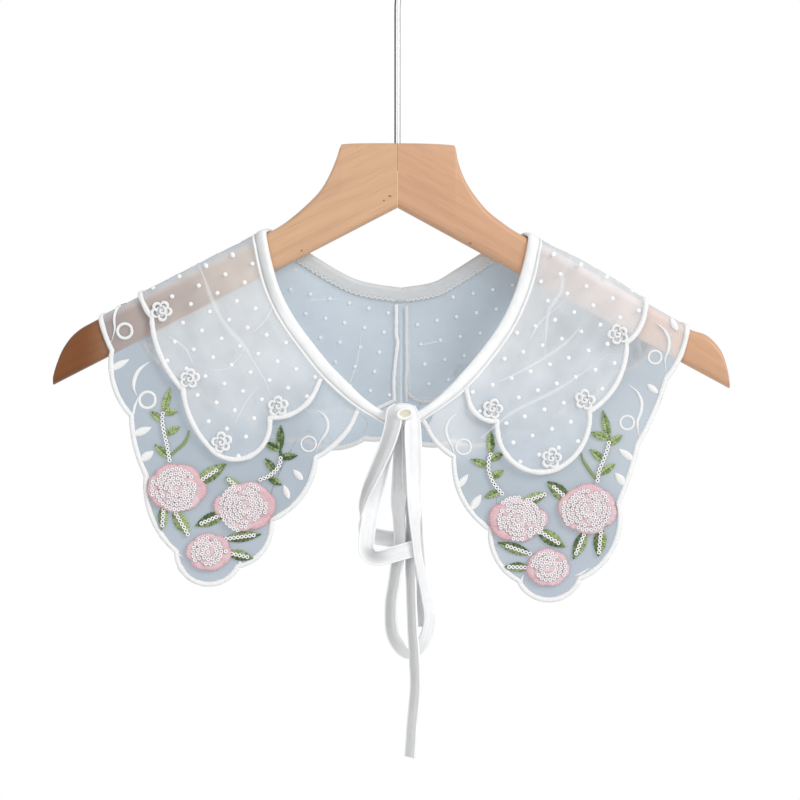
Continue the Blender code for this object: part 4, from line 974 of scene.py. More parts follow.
def thread_material(name, colour, period, slant, trough=0.84, depth=0.0002):
    """Satin stitch: close slanting threads across the line."""
    made, tree, shader = new_material(name, Roughness=0.55, Sheen_Weight=0.25, Sheen_Roughness=0.35)
    stitches = wave(tree, coords(tree, rotation=(0.0, 0.0, slant)), 0.314 / period, 0.6, 2.0)
    shade = ramp(tree, stitches, (0.0, tuple(trough * c for c in colour)), (0.55, colour))
    soft = ramp(tree, cloud(tree, coords(tree), 1.4, 2.0), (0.25, (0.93, 0.93, 0.935)), (0.65, 1.0))
    colour_by(tree, shader, shade, soft, tint_of(tree))
    bump(tree, shader, stitches, 0.6, depth)
    return made


def satin(name):
    """Satin tape: close ribs across, a soft unevenness along."""
    made, tree, shader = new_material(name, Roughness=0.42, Sheen_Weight=0.3, Sheen_Roughness=0.3)
    ribs = wave(tree, coords(tree), 0.62)
    uneven = cloud(tree, coords(tree, scale=(0.16, 0.5, 1.0)), 0.9)
    shade = ramp(tree, uneven, (0.25, (0.90, 0.905, 0.91)), (0.6, 0.98))
    grain = ramp(tree, ribs, (0.0, (0.95, 0.95, 0.955)), (0.6, 1.0))
    colour_by(tree, shader, shade, grain, tint_of(tree))
    bump(tree, shader, combine(tree, "ADD", ribs, uneven), 0.25, 0.0002)
    return made


def sequin_material(name, scale, low, high, **settings):
    made, tree, shader = new_material(name, **settings)
    colour_by(tree, shader, ramp(tree, cloud(tree, coords(tree), scale, 1.0), low, high), tint_of(tree))
    return made


def wood(name, slope, warm):
    """Beech: long grain along the arm, small flecks, a clear satin lacquer."""
    made, tree, shader = new_material(name, Roughness=0.42, Coat_Weight=0.15, Coat_Roughness=0.35)
    base = coords(tree, "Object", rotation=(0.0, slope, 0.0))
    grain = cloud(tree, mapped(tree, base, (6.0, 60.0, 90.0)), 2.2, 6.0, 0.6)
    flecks = cloud(tree, mapped(tree, base, (30.0, 400.0, 900.0)), 1.6, 2.0)
    broad = ramp(tree, grain, (0.30, tuple(0.86 * c for c in warm)), (0.5, warm),
                 (0.72, tuple(min(1.0, 1.08 * c) for c in warm)))
    dark = ramp(tree, flecks, (0.28, (0.89, 0.85, 0.81)), (0.42, 1.0))
    colour_by(tree, shader, broad, dark, tint_of(tree))
    bump(tree, shader, flecks, 0.12, 0.0002)
    return made


def steel():
    """Polished wire: the painted reflection of each place, with faint soft marks."""
    made, tree, shader = new_material("hook_steel", Metallic=1.0)
    marks = cloud(tree, coords(tree, "Object", (16.0, 16.0, 16.0)), 1.0, 1.0)
    colour_by(tree, shader, ramp(tree, marks, (0.3, 0.88), (0.7, 0.98)), tint_of(tree))
    level = node(tree, "MapRange", "Result", {"Value": marks, "To Min": 0.30, "To Max": 0.42})
    tree.links.new(level, shader.inputs["Roughness"])
    return made


UNDER_CLOTH = organza("under_organza", UNDER_ALPHA)
TOP_CLOTH = organza("dotted_organza", TOP_ALPHA)
CREASE_CLOTH = organza("crease_organza", 0.40, False)
CORD_THREAD = thread_material("cord_thread", WHITE, 0.7, 0.45)
WHITE_THREAD = thread_material("white_thread", WHITE, 0.6, 0.7)
PINK_THREAD = thread_material("pink_thread", FULL, 1.15, 0.0, 0.80, 0.0004)
GREEN_THREAD = thread_material("green_thread", FULL, 0.95, 0.75, 0.66, 0.0005)
FLOCK = thread_material("flock", WHITE, 0.35, 0.2, 0.93, 0.0001)
SATIN = satin("satin_tape")
SEQUIN = (
    sequin_material("sequin", 1.3, (0.35, (0.88, 0.86, 0.885)), (0.7, 0.95), Roughness=0.28, Coat_Weight=0.5,
                    Coat_Roughness=0.12),
    sequin_material("sequin_hole", 1.0, (0.3, 0.8), (0.7, 1.0), Roughness=0.8),
)


# Camera and bow
def camera():
    """The photo's view, straight from the front."""
    data = bpy.data.cameras.new("camera")
    data.sensor_width = SENSOR
    data.lens = SENSOR * VIEW_DISTANCE / VIEW_WIDTH
    data.clip_end = 20.0
    obj = bpy.data.objects.new("camera", data)
    obj.location = Vector((VIEW_X, -VIEW_DISTANCE, VIEW_Z)) * MM
    obj.rotation_euler = (pi / 2, 0.0, 0.0)
    bpy.context.scene.collection.objects.link(obj)
    bpy.context.scene.camera = obj


def ribbon(name, rows):
    """A flat tape with a folded edge on both sides, and its centre line in metres."""
    points = catmull([(*row, 1.0)[:7] for row in rows], 7)
    lengths = lengths_of([point[:3] for point in points])
    rings = []
    for index, (x, y, z, width, facing, tip, shade) in enumerate(points):
        before, after = beside(points, index)
        tangent = (Vector(after[:3]) - Vector(before[:3])).normalized()
        facing, tip, length = radians(facing), radians(tip), lengths[index]
        normal = Vector((sin(facing) * cos(tip), -cos(facing) * cos(tip), -sin(tip)))
        normal = (normal - tangent * normal.dot(tangent)).normalized()
        half = width / 2 * (1.0 + 0.025 * wobble(length, x, 9.0, 4.0))
        across = tangent.cross(normal) * half
        curl = normal * 0.18 * wobble(length, z, 12.0, 6.0)
        ring = []
        for a, b in RIBBON_SECTION:
            # Painted shade greys the face, most on its left half; the folded edges stay white as a painted
            # highlight.
            level = 1.0 - (1.0 - shade) * ease((a + 0.9) / 1.1)
            tint = FULL if abs(a) > SELVAGE else (0.93 * level, 0.94 * level, 0.95 * level)
            point = Vector((x, y, z)) + across * a - normal * RIBBON_THICKNESS / 2 * b + curl * a * a
            ring.append((point * MM, (length, half * a), tint))
        rings.append(ring)
    work = Work()
    work.grid(rings, closed=True)
    work.cap(rings[0], (0.9, 0.9, 0.9), uv=rings[0][0][1])
    work.cap(rings[-1], (0.9, 0.9, 0.9), True, uv=rings[-1][0][1])
    obj = work.piece(name, "satin", SATIN, node=BOW_NODES[name])
    return obj, [Vector(point[:3]) * MM for point in points]


def bow():
    """The four strands that hang from the knot, each a flat cord of its own."""
    for name, rows in BOW.items():
        obj, line = ribbon(name, rows)
        tuple(line[0])
        lengths_of(line)[-1]
        [tuple(p) for p in line]


# Cloth
def wood_reach(side, x):
    """How far from the fold the lower edge of the arm lies at x."""
    bottom = HANGER_APEX_Z - abs(x) * tan(radians(side.lower_slope))
    return WRAP_FLAT + WRAP_RADIUS * (pi / 2 - 1.0) + fold_place(side, x, bottom)[1]


def under_tint_and_painted_light(side, face, x, z, run, reach):
    """Tints of the under collar off the wood and over it: pale blue-grey with painted light and shade, whiter
    on the right, greyer over the wood on the left, darker across the back to the right; also lighter beside
    the knot and low down.
    """
    left, drop = side.sign < 0, abs(reach)
    outer = ease((run - 40.0) / 30.0) * ease((130.0 - drop) / 60.0)
    if face < 0:
        hanging = blend((0.76, 0.85, 0.92), (0.58, 0.655, 0.715), ease((x + 70.0) / 120.0))
    else:
        hanging = (0.50, 0.55, 0.60) if left else (0.54, 0.59, 0.63)
        hanging = blend(hanging, (0.58, 0.62, 0.68), ease((-z - 345.0) / 28.0))
        hanging = hanging if left else blend(hanging, (0.66, 0.70, 0.73), outer)
        beside_knot = (1.0 - ease((abs(x) - 32.0) / 24.0)) * ease((z + 324.0) / 16.0)
        hanging = blend(hanging, (0.63, 0.69, 0.75) if left else (0.91, 0.94, 0.96), beside_knot)
    # Over the wood: greyer painted shade on the left, whiter painted light on the right.
    pale = (0.50, 0.505, 0.53) if left else blend((0.78, 0.80, 0.82), (0.99, 0.99, 1.0), outer)
    low = 1.0 + 0.07 * wobble(x, z, 26.0, 1.0) + 0.04 * wobble(x, z, 11.0, 4.0)
    return crested(side, drop, low, hanging, pale)


def top_tint_and_painted_light(side, face, x, z, run, reach):
    """Tints of the top collar: a white haze with painted light and shade, greyer over the wood on the left,
    towards the points, lower down and on the back, and whiter over the wood on the right.
    """
    drop, outer = abs(reach), ease((run - 10.0) / 45.0)
    if side.sign < 0:
        over = blend((0.93, 0.88, 0.82), (0.66, 0.60, 0.57), outer)
        high = blend((0.98, 1.0, 1.0), (0.84, 0.86, 0.88), ease((run - 30.0) / 30.0))
    else:
        over = blend((0.90, 0.91, 0.93), (0.98, 0.99, 1.0), outer)
        high = blend((0.99, 1.0, 1.0), (0.83, 0.87, 0.90), outer)
    hanging = blend(high, (0.72, 0.78, 0.84), ease((drop - 62.0) / 45.0))
    if face < 0:
        hanging = (0.68, 0.73, 0.78)
        over = blend(over, hanging, 0.5)
    streak = 0.10 * wobble(run, reach * 0.12, 6.0, 12.0) * (1.0 - ease((drop - 50.0) / 50.0))
    soft = 1.0 + 0.07 * wobble(x, z, 20.0, 2.0) + 0.09 * wobble(x, z, 9.0, 6.0) + streak
    return crested(side, drop, soft, hanging, over)


def crested(side, drop, level, *colours):
    """The colours at a level of brightness, with a painted highlight over the top of the arm, fainter on the
    left.
    """
    crest = 1.0 - ease((drop - 5.0) / 4.5)
    tints = [blend(colour, CREST_PAINTED_LIGHT[side.name], crest) for colour in colours]
    return [tuple(min(1.0, c * level) for c in tint) for tint in tints]


def sheet_place(rib, share):
    """A place on a rib by share of its length, and its distance; share 0 is inside, under the tape."""
    length = dist(rib[0], rib[-1])
    distance = share * (length + UNDER_TAPE) - UNDER_TAPE
    if distance < 0:
        return blend(rib[0], rib_point(rib, 0.05), distance / (0.05 * length)), 0.0
    return rib_point(rib, distance / length), distance


def collar_shell(name, side, cusps, lift, tint, cloth, slot, node_name):
    """One collar half as a thin open sheet, its corded edge, its flat size and its area."""
    ribs = collar_ribs(side, cusps)
    rows, over = [], []
    for rib in ribs:
        row = []
        for station in range(SHELL_STATIONS + 1):
            (run, reach), distance = sheet_place(rib, station / SHELL_STATIONS)
            point = place(side, run, reach, lift(side, run, reach, distance))
            x, z = point.x / MM, point.z / MM
            # Both tints hold painted light and shade.
            hanging, warm = tint(side, 1 if reach > 0 else -1, x, z, run, reach)
            row.append((point, (run, reach), hanging))
            over.append((*warm, wood_reach(side, x)))
        rows.append(row)
    work = Work()
    work.grid(rows, flip=side.sign > 0)
    obj = work.piece(name, slot, cloth, node=node_name)
    paint(obj.data, "over_wood", over)
    obj.visible_shadow = False
    cord = edge_cord(name + "_cord", side, ribs, lift)
    outline = [rib[0] for rib in ribs] + [rib[-1] for rib in reversed(ribs)]
    flat = tuple((max(values) - min(values)) * MM for values in zip(*outline))
    area = sum(a[0] * b[1] - b[0] * a[1] for a, b in zip(outline, outline[1:] + outline[:1]))
    return obj, cord, flat, abs(area) / 2 * MM * MM


def edge_cord(name, side, ribs, lift):
    """Satin-stitched cord just inside the scalloped edge."""
    places = []
    for neck, bend, edge in ribs:
        inset = CORD_HALF_WIDTH / dist(bend, edge)
        places.append((*blend(edge, bend, inset), dist(neck, edge)))
    if name.startswith("top"):
        shift = 0.6 * CORD_HALF_WIDTH * side.sign * (-1 if ribs[0][-1][1] > 0 else 1)
        opening = [(*rib_point(ribs[0], k / 14), places[0][2] * k / 14) for k in range(1, 14)]
        places = [(run + shift, reach, distance) for run, reach, distance in opening] + places
    before, end = places[-4][:2], places[-1]
    for share in (0.5, 1.0):
        onward = blend(before, end, 1.0 + CORD_RUN_ON[name] * share / dist(before, end[:2]))
        places.append((*onward, end[2] * (1.0 - share)))
    centres, outs = [], []
    for run, reach, distance in catmull(places, 2):
        height = lift(side, run, reach, distance)
        centres.append(place(side, run, reach, height))
        outs.append((place(side, run, reach, height + 1.0) - centres[-1]).normalized())
    rings = []
    for index, (centre, out, length) in enumerate(zip(centres, outs, lengths_of(centres))):
        before, after = beside(centres, index)
        across = out.cross((after - before).normalized()).normalized()
        length /= MM
        uneven = 1.0 + 0.22 * wobble(length, side.sign, 7.0, 7.0) + 0.14 * wobble(length, 0.0, 2.6, 1.0)
        rings.append([(centre + (across * CORD_HALF_WIDTH * a + out * CORD_HALF_HEIGHT * b) * uneven * MM,
                       (length, 2.0 * b), FULL) for a, b in circle(CORD_SIDES)])
    work = Work()
    work.grid(rings, closed=True)
    work.cap(rings[0], FULL)
    work.cap(rings[-1], FULL, True)
    return work.piece(name, "thread", CORD_THREAD)


def inside(outline, run, reach):
    """Whether a sheet place is inside an outline."""
    within = False
    for a, b in zip(outline, outline[1:] + outline[:1]):
        if (a[1] > reach) != (b[1] > reach) and run < a[0] + (reach - a[1]) * (b[0] - a[0]) / (b[1] - a[1]):
            within = not within
    return within


def rosette_places(side):
    """Name, sheet place and distance from the neck of each rosette, and the direction to the neck."""
    places = []
    for index, cusp in enumerate(TOP_EDGE[side.name][1:-1], 1):
        if cusp.face != 0:
            edge = to_sheet(side, cusp.face, cusp.x, cusp.z)
            neck = SEAMS[side.name].at_share(cusp.share)
            length = dist(edge, neck)
            places.append((f"rosette_{side.name}_{index}", blend(edge, neck, ROSETTE_INSET / length),
                           length - ROSETTE_INSET, atan2(neck[1] - edge[1], neck[0] - edge[0])))
    return places


def dots(side):
    """Flocked dots over the whole top collar of one side, clear of its edge and its rosettes."""
    ribs = collar_ribs(side, TOP_EDGE[side.name])
    necks, edges = [rib[0] for rib in ribs], [rib[-1] for rib in ribs]
    roses = [row[1] for row in rosette_places(side)]
    origin = to_sheet(side, 1, *DOT_START[side.name])
    dx, dy = DOT_PITCH * cos(radians(DOT_TURN)), DOT_PITCH * sin(radians(DOT_TURN))
    work = Work()
    for i in range(-16, 17):
        for j in range(-16, 17):
            run = origin[0] + i * dx - j * dy + 0.5 * wobble(i, j, 1.7, 3.0)
            reach = origin[1] + i * dy + j * dx + 0.5 * wobble(j, i, 1.7, 8.0)
            spot = (run, reach)
            seam_gap = min(dist(spot, neck) for neck in necks)
            clear = seam_gap >= 1.6 and min(dist(spot, edge) for edge in edges) >= 3.0
            clear = clear and min(dist(spot, rose) for rose in roses) >= 5.6
            if clear and inside(necks + edges[::-1], *spot):
                dot(work, side, run, reach, seam_gap)
                # On the back each dot also gets a painted lit copy on the under collar's inner face.
                if reach < -30.0:
                    dot_behind(work, side, run, reach)
    return work.piece(f"dots_{side.name}", "thread", FLOCK)


def dot(work, side, run, reach, distance):
    base = top_lift(side, run, reach, distance)
    rows = []
    for radius, rise in DOT_PROFILE:
        row = []
        for step, (a, b) in enumerate(circle(10, DOT_RADIUS * radius)):
            size = 1.0 + 0.06 * wobble(run + step, reach, 2.0, 5.0)
            point = place(side, run + a * size, reach + b * size, base + rise)
            row.append((point, (run + radius, reach), FULL))
        rows.append(row)
    work.grid(rows, closed=True)
    work.cap(rows[0], FULL, True, place(side, run, reach, base - 0.34), (run, reach))
    work.cap(rows[-1], FULL, False, place(side, run, reach, base + 0.6), (run, reach))


def dot_behind(work, side, run, reach):
    """A painted lit copy of a dot of the back as it shows through the under collar, on that collar's inner
    face, its tint lighter towards the right.
    """
    tint = blend((0.74, 0.80, 0.85), (0.84, 0.90, 0.95), ease((run * side.sign + 60.0) / 60.0))
    ring = [place(side, run + a, reach + b, -0.12) for a, b in circle(10, 0.95)]
    work.cap(ring, tint, side.sign > 0, place(side, run, reach, -0.22), (run, reach))


def rosette(name, side, centre, distance, angle, seed):
    """A small rose worked in white cord: a coil and five looped petals round it."""
    base = top_lift(side, *centre, distance) + 0.05

    def put(x, z, height):
        return place(side, centre[0] + x, centre[1] + z, base + height)

    work = Work()
    ground = [[(put(x, z, rise), (k * 0.8, radius), ROSETTE_GROUND)
               for k, (x, z) in enumerate(circle(16, radius))]
              for radius, rise in ((3.4, 0.05), (2.6, 0.4), (1.2, 0.5))]
    work.grid(ground, closed=True)
    work.cap(ground[-1], ROSETTE_GROUND, False, put(0.0, 0.0, 0.55))
    coil = [((0.2 + 2.0 * t) * cos(angle + 7.0 * t), (0.2 + 2.0 * t) * sin(angle + 7.0 * t))
            for t in (k / 22 for k in range(23))]
    stroke(work, coil, taper(len(coil), 0.85, 0.6, 0.6), 1.1, put, base=0.6)
    for petal in range(5):
        middle = angle + 0.5 + 2 * pi * petal / 5 + 0.45 * wobble(seed, petal * 1.3, 1.0, 2.0)
        reach = ROSETTE_RADIUS * (1.0 + 0.22 * wobble(seed, petal * 1.7, 1.0, 9.0))
        loop = []
        for swing in (pi * (k / 14 - 0.5) for k in range(15)):
            radius = 2.3 + (reach - 2.8) * max(cos(swing), 0.0) ** 0.6
            loop.append((radius * cos(middle + swing * 0.46), radius * sin(middle + swing * 0.46)))
        stroke(work, loop, taper(len(loop), 0.98, 0.6, 0.45), 1.1, put, base=0.2 + 0.2 * (petal % 2))
    return work.piece(name + "_worked", "thread", WHITE_THREAD, node=name)


# White embroidery
def open_ring(work, x, z, radius, half, height, put):
    """A ring of cord whose radius shrinks a little, so that its ends lie side by side."""
    points = []
    for share in (k / 26 for k in range(27)):
        size, angle = radius * (1.0 - 0.05 * share), 0.4 + 2 * pi * share
        points.append((x + size * cos(angle), z + size * sin(angle)))
    stroke(work, points, [half] * len(points), height, put)


def sprig(work, base, tip, width, put):
    """A small white leaf of satin stitch."""
    shares = [k / 8 for k in range(9)]
    halves = [max(0.12, width * 0.66 * sin(pi * min(1.0, 0.08 + 0.92 * share)) ** 0.8) for share in shares]
    stroke(work, [blend(base, tip, share) for share in shares], halves, 0.75, put, base=0.05)


def white_work(side):
    """Stems, rings and small leaves in white thread on the front of one half."""
    work, put = Work(), on_panel(side)
    for pixels, width in STEMS[side.name]:
        points = smooth_px(pixels, 5)
        stroke(work, points, taper(len(points), width / 2), 0.8, put)
    for x, y, radius, width in RINGS[side.name]:
        open_ring(work, *at(x, y), radius * PIXEL, width / 2, 0.7, put)
    for *ends, width in SPRIGS[side.name]:
        sprig(work, at(*ends[:2]), at(*ends[2:]), width, put)
    back_work(work, side)
    return work.piece(f"white_work_{side.name}", "thread", WHITE_THREAD)


def back_work(work, side):
    """The same stems, rings and leaves inside each scallop of the back."""
    put = on_panel(side, -1)
    cusps = [cusp for cusp in UNDER_EDGE[side.name] if cusp.face < 0]
    for a, b in zip(cusps, cusps[1:]):
        size = hypot(b.x - a.x, b.z - a.z)
        if size < 24.0:
            continue
        dx, dz = (b.x - a.x) / size, (b.z - a.z) / size
        way = 1 if dx > 0 else -1

        def local(u, v):
            return a.x + dx * u - dz * way * v, a.z + dz * u + dx * way * v

        stem = catmull([local(1, 3), local(-1, 9), local(2, 14), local(7, 17), local(9, 22)], 4)
        stroke(work, stem, taper(len(stem), 0.9), 0.7, put)
        open_ring(work, *local(11.5, 11.0), 4.0, 0.65, 0.65, put)
        sprig(work, local(size * 0.55, -1.0), local(size * 0.55 + 5.0, 6.0), 3.0, put)
        sprig(work, local(size * 0.80, -0.5), local(size * 0.80 + 4.0, 6.5), 2.8, put)
    for number, cord in enumerate(BACK_CORDS[side.name]):
        points = smooth_px(cord, 12)
        halves = [CORD_HALF_WIDTH * 0.72 * (1.0 + 0.3 * wobble(k, number, 3.0, 5.0))
                  for k in range(len(points))]
        # The back cords take painted shade, darker on the right.
        stroke(work, points, halves, -0.5, put, BACK_CORD_PAINTED_SHADE[side.name], -WALL)


def creases(side):
    """Pressed creases of the top collar, where the cloth lies double."""
    def put(x, z, height):
        run, reach = to_sheet(side, 1, x, z)
        return place(side, run, reach, top_lift(side, run, reach, SHOULDER_RUN) + height)

    work = Work()
    for pixels, width in CREASES[side.name]:
        strip(work, smooth_px(pixels, 6), width, put, 0.35)
    for pixels, width in CREASES["back"]:
        if (at(*pixels[0])[0] > CENTRE_BACK_X) == (side.sign > 0):
            strip(work, smooth_px(pixels, 6), width, on_panel(side, -1), -0.45)
    obj = work.piece(f"creases_{side.name}", "dotted_organza", CREASE_CLOTH)
    obj.visible_shadow = False
    return obj


# Roses, leaves and vines
def angle_from(middle, angle):
    return (angle - middle + pi) % (2 * pi) - pi


def pads_of(row):
    """Padded petals of a rose, from the outer ring to the coil in the middle."""
    pads = []
    for index, petal in enumerate(row.petals):
        pads.append(Pad(radians(petal.angle), radians(petal.half_angle) * 1.10, 0.30, petal.reach,
                        0.06 + 0.08 * (index % 2), 0.40, 0.42 + 0.16 * petal.bare))
    for ring, (count, outer, level) in enumerate(INNER_PETALS):
        for k in range(count):
            size = outer * (1.0 + 0.05 * wobble(row.x + k, ring * 2.0, 1.0, 3.0))
            pads.append(Pad(row.turn + 0.8 * ring + 2 * pi * k / count, 1.14 * pi / count, 0.0, size,
                            level + 0.04 * (k % 2), 0.26, 0.34))
    return pads


def pad_height(pad, share, across):
    """Height of a petal: it swells to a round lip and drops at its rim."""
    swell = 0.25 + 0.75 * ease(share / 0.75)
    lip = sqrt(max(0.0, 1.0 - ((share - 0.80) / 0.20) ** 2)) if share > 0.80 else 1.0
    return pad.level + pad.rise * swell * lip * (1.0 - 0.25 * across ** 4)


def pad_rim(pad, across):
    return pad.inner + (pad.outer - pad.inner) * (1.0 - PETAL_ROUNDING * abs(across) ** 2.6)


def rose_height(pads, x, z):
    """Highest petal at a place given in shares of the rose's half sizes."""
    best = 0.12
    for pad in pads:
        across = angle_from(pad.middle, atan2(z, x)) / pad.half
        if abs(across) <= 1.0:
            share = (hypot(x, z) - pad.inner) / (pad_rim(pad, across) - pad.inner)
            if 0.0 <= share <= 1.0:
                best = max(best, pad_height(pad, share, across))
    return best


def rose_ground(work, row, put):
    """Flat ground of the rose under its petals."""
    ring = []
    for x, z in circle(60):
        reach = 0.74
        for petal in row.petals:
            off = abs(angle_from(radians(petal.angle), atan2(z, x))) / radians(petal.half_angle)
            if off < 1.1:
                reach = max(reach, petal.reach * 0.97 * (1.0 - PETAL_ROUNDING * off ** 2.6))
        ring.append((reach * x, reach * z))
    rows = [[(put(x * size, z * size, height), (k * 0.9, s), tint) for k, (x, z) in enumerate(ring)]
            for s, (size, height, tint) in enumerate(GROUND_PROFILE)]
    work.grid(rows, closed=True, flip=True)
    work.cap(rows[-1], ROSE_GROUND, True, put(0.0, 0.0, 0.12))


def petal_pad(work, row, number, pad, put, seed):
    """One padded satin-stitched petal."""
    rows = []
    for share in PAD_SHARES:
        cells = []
        for across in (2 * c / PAD_COLUMNS - 1.0 for c in range(PAD_COLUMNS + 1)):
            angle = pad.middle + pad.half * across
            tooth = 0.012 * sin(angle * 61.0) if share > 0.9 else 0.0
            radius = pad.inner + (pad_rim(pad, across) - pad.inner) * share + tooth
            height = pad_height(pad, share, across) - (0.10 if share == 1.0 else 0.0)
            # Painted shade deepens the pink towards the inner end of each petal; the pink also deepens
            # towards the rim and sides.
            deep = pad.pink * (0.15 + 0.75 * ease((share - 0.40) / 0.45)) + 0.30 * (1.0 - ease(share / 0.4))
            deep += 0.35 * ease((abs(across) - 0.80) / 0.18) + (0.35 if share > 0.95 else 0.0)
            deep += 0.30 * wobble(angle * 9.0 + seed, number * 1.7, 1.0, 3.0)
            cells.append((put(radius * cos(angle), radius * sin(angle), height),
                          (angle * pad.outer * row.half_width, radius * row.half_width),
                          blend(PALE_PINK, PINK, max(0.0, min(1.0, deep)))))
        rows.append(cells)
    work.grid(rows, flip=True)


def rose(name, side, row, seed):
    """Padded satin-stitched petals in rings, and rows of ring sequins laid along them."""
    put = on_panel(side, 1, WALL + ROSE_BASE)

    def shaped(x, z, height):
        return put(row.x + x * row.half_width, row.z + z * row.half_height, height * ROSE_HEIGHT - 0.35)

    work, pads = Work(), pads_of(row)
    rose_ground(work, row, shaped)
    for number, pad in enumerate(pads):
        petal_pad(work, row, number, pad, shaped, seed)
    work.piece(name + "_petals", "rose", PINK_THREAD, node=name)
    spangle = Work()
    for count, (x, z) in enumerate(rose_sequins(row)):
        near = [(x, z), (x + 1, z), (x - 1, z), (x, z + 1), (x, z - 1)]
        height = sum(rose_height(pads, a / row.half_width, b / row.half_height) for a, b in near) / 5 + 0.06
        sequin(spangle, row.x + x, row.z + z, height * ROSE_HEIGHT - 0.25, put, seed * 100.0 + count * 1.37,
               ROSE_HOLE_PAINTED_SHADE)
    spangle.piece(name + "_sequins", "thread", *SEQUIN)


def rose_sequins(row):
    """Places of the sequins of one rose: a round coil from the middle, cut off at the rose's oval."""
    places = [(0.0, 0.0)]
    wide, high = row.half_width, row.half_height
    angle, radius, since = row.turn, 2.35, 0
    while radius < wide:
        step = SEQUIN_STEP / radius
        angle += step
        radius += SEQUIN_ROW * step / (2 * pi)
        since += 1
        oval = wide * high / hypot(high * cos(angle), wide * sin(angle))
        nearest = min(row.petals, key=lambda petal: abs(angle_from(radians(petal.angle), angle % (2 * pi))))
        if radius > oval * SEQUIN_MARGIN - BARE_ROW * nearest.bare * SEQUIN_ROW:
            continue
        if radius > 6.0 and since > 7 + radius * 0.4:
            since = 0
            continue
        places.append((radius * cos(angle), radius * sin(angle)))
    return places


def leaf_form(work, leaf, put, height, seed):
    """A satin-stitched leaf with a toothed edge and a groove along its midrib."""
    length = hypot(leaf.tip_x - leaf.x, leaf.tip_z - leaf.z)
    dx, dz = (leaf.tip_x - leaf.x) / length, (leaf.tip_z - leaf.z) / length
    rows = []
    for k in range(LEAF_ROWS):
        share = k / (LEAF_ROWS - 1)
        half = leaf.width / 2 * sin(pi * min(1.0, share * 0.93 + 0.05)) ** 0.72 * (1.0 - 0.35 * share ** 3)
        half = max(0.14, half * (1.0 + (0.07 if k % 3 == 0 else -0.03)))
        bend = 0.06 * length * sin(pi * share) * wobble(seed, 2.0, 1.0, 4.0)
        row = []
        for c in LEAF_COLUMNS:
            midrib = abs(c) < 0.1
            lift = height * (0.62 + 0.38 * (1.0 - abs(c)) ** 0.6) * (0.55 if abs(c) > 0.97 else 1.0)
            # Painted light: one half of the leaf is lighter than the other, and the midrib groove is darker
            # as painted shade.
            patch = leaf.light + (0.30 if c > 0 else -0.10) * (1 if leaf.light < 0.6 else 0.6)
            patch += 0.85 * wobble(length * share + seed * 9.0, half * c, 1.5, 2.0)
            patch -= 0.35 if midrib else 0.0
            u, v = length * share, bend + half * c
            point = put(leaf.x + dx * u - dz * v, leaf.z + dz * u + dx * v, lift - 0.30 * height * midrib)
            row.append((point, (u + abs(c) * half * 0.9, half * c),
                        blend(DARK_GREEN, LIGHT_GREEN, max(0.0, min(1.0, patch)))))
        rows.append(row)
    work.grid(rows)


def leaf(name, side, row, seed):
    put, work, spangle = on_panel(side, 1, WALL + 0.1), Work(), Work()
    leaf_form(work, row, put, 1.15, seed)
    work.piece(name + "_stitched", "leaf", GREEN_THREAD, node=name)
    end = blend((row.x, row.z), (row.tip_x, row.tip_z), 0.10 + 0.86 * row.sequins)
    for index, (x, z) in enumerate(along([(row.x, row.z), end], SEQUIN_STEP * 0.92)):
        sequin(spangle, x, z, 1.25, put, seed * 31.0 + index, LEAF_HOLE_PAINTED_SHADE)
    spangle.piece(name + "_sequins", "thread", *SEQUIN)


def vine(name, side, row, seed):
    """A stem that ends in a leaf, with small leaves beside it and sequins on its lower part."""
    put, work, spangle = on_panel(side, 1, WALL + 0.1), Work(), Work()
    points = catmull(row.points, 7)
    stem = points[:-9]
    stroke(work, stem, [0.85] * len(stem), 0.9, put, blend(DARK_GREEN, LIGHT_GREEN, row.light * 0.8))
    leaf_form(work, Leaf(*points[-12], *points[-1], 4.6, row.light, 0), put, 1.0, seed)
    for index, small in enumerate(Leaf(*values) for values in row.leaves):
        leaf_form(work, small._replace(width=small.width * 1.22), put, 1.0, seed * 3.0 + index)
    if name in BRANCHES:
        branch = smooth_px(BRANCHES[name], 5)
        colour = blend(DARK_GREEN, LIGHT_GREEN, 0.6)
        stroke(work, branch, taper(len(branch), 0.95, 0.7, 0.5), 0.9, put, colour)
    work.piece(f"vine_{name}_stitched", "leaf", GREEN_THREAD, node=f"vine_{name}")
    for index, (x, z) in enumerate(along(points[:int(len(points) * row.sequins)], SEQUIN_STEP * 0.92)):
        sequin(spangle, x, z, 1.05, put, seed * 17.0 + index, LEAF_HOLE_PAINTED_SHADE)
    spangle.piece(f"vine_{name}_sequins", "thread", *SEQUIN)


# Binding and knot
def tape_places(side):
    """Places along the neck seam of one half, run on to the knot: share, place, way inward."""
    seam = SEAMS[side.name]
    places = [(share, seam.at_share(share), seam.inward(share))
              for share in (k / TAPE_RINGS for k in range(TAPE_RINGS + 1))]
    _, end, step = places[-1]
    before = seam.at_share(0.98)
    for k in range(1, 6):
        onward = TAPE_RUN_ON[side.name] * k / 5 / dist(before, end)
        places.append((1.0, blend(before, end, 1.0 + onward), step))
    return places


def tape_scale(share):
    return 1.0 - TAPE_NARROWING / TAPE_WIDTH * ease((share - TAPE_NARROWS_AT) / (1.0 - TAPE_NARROWS_AT))


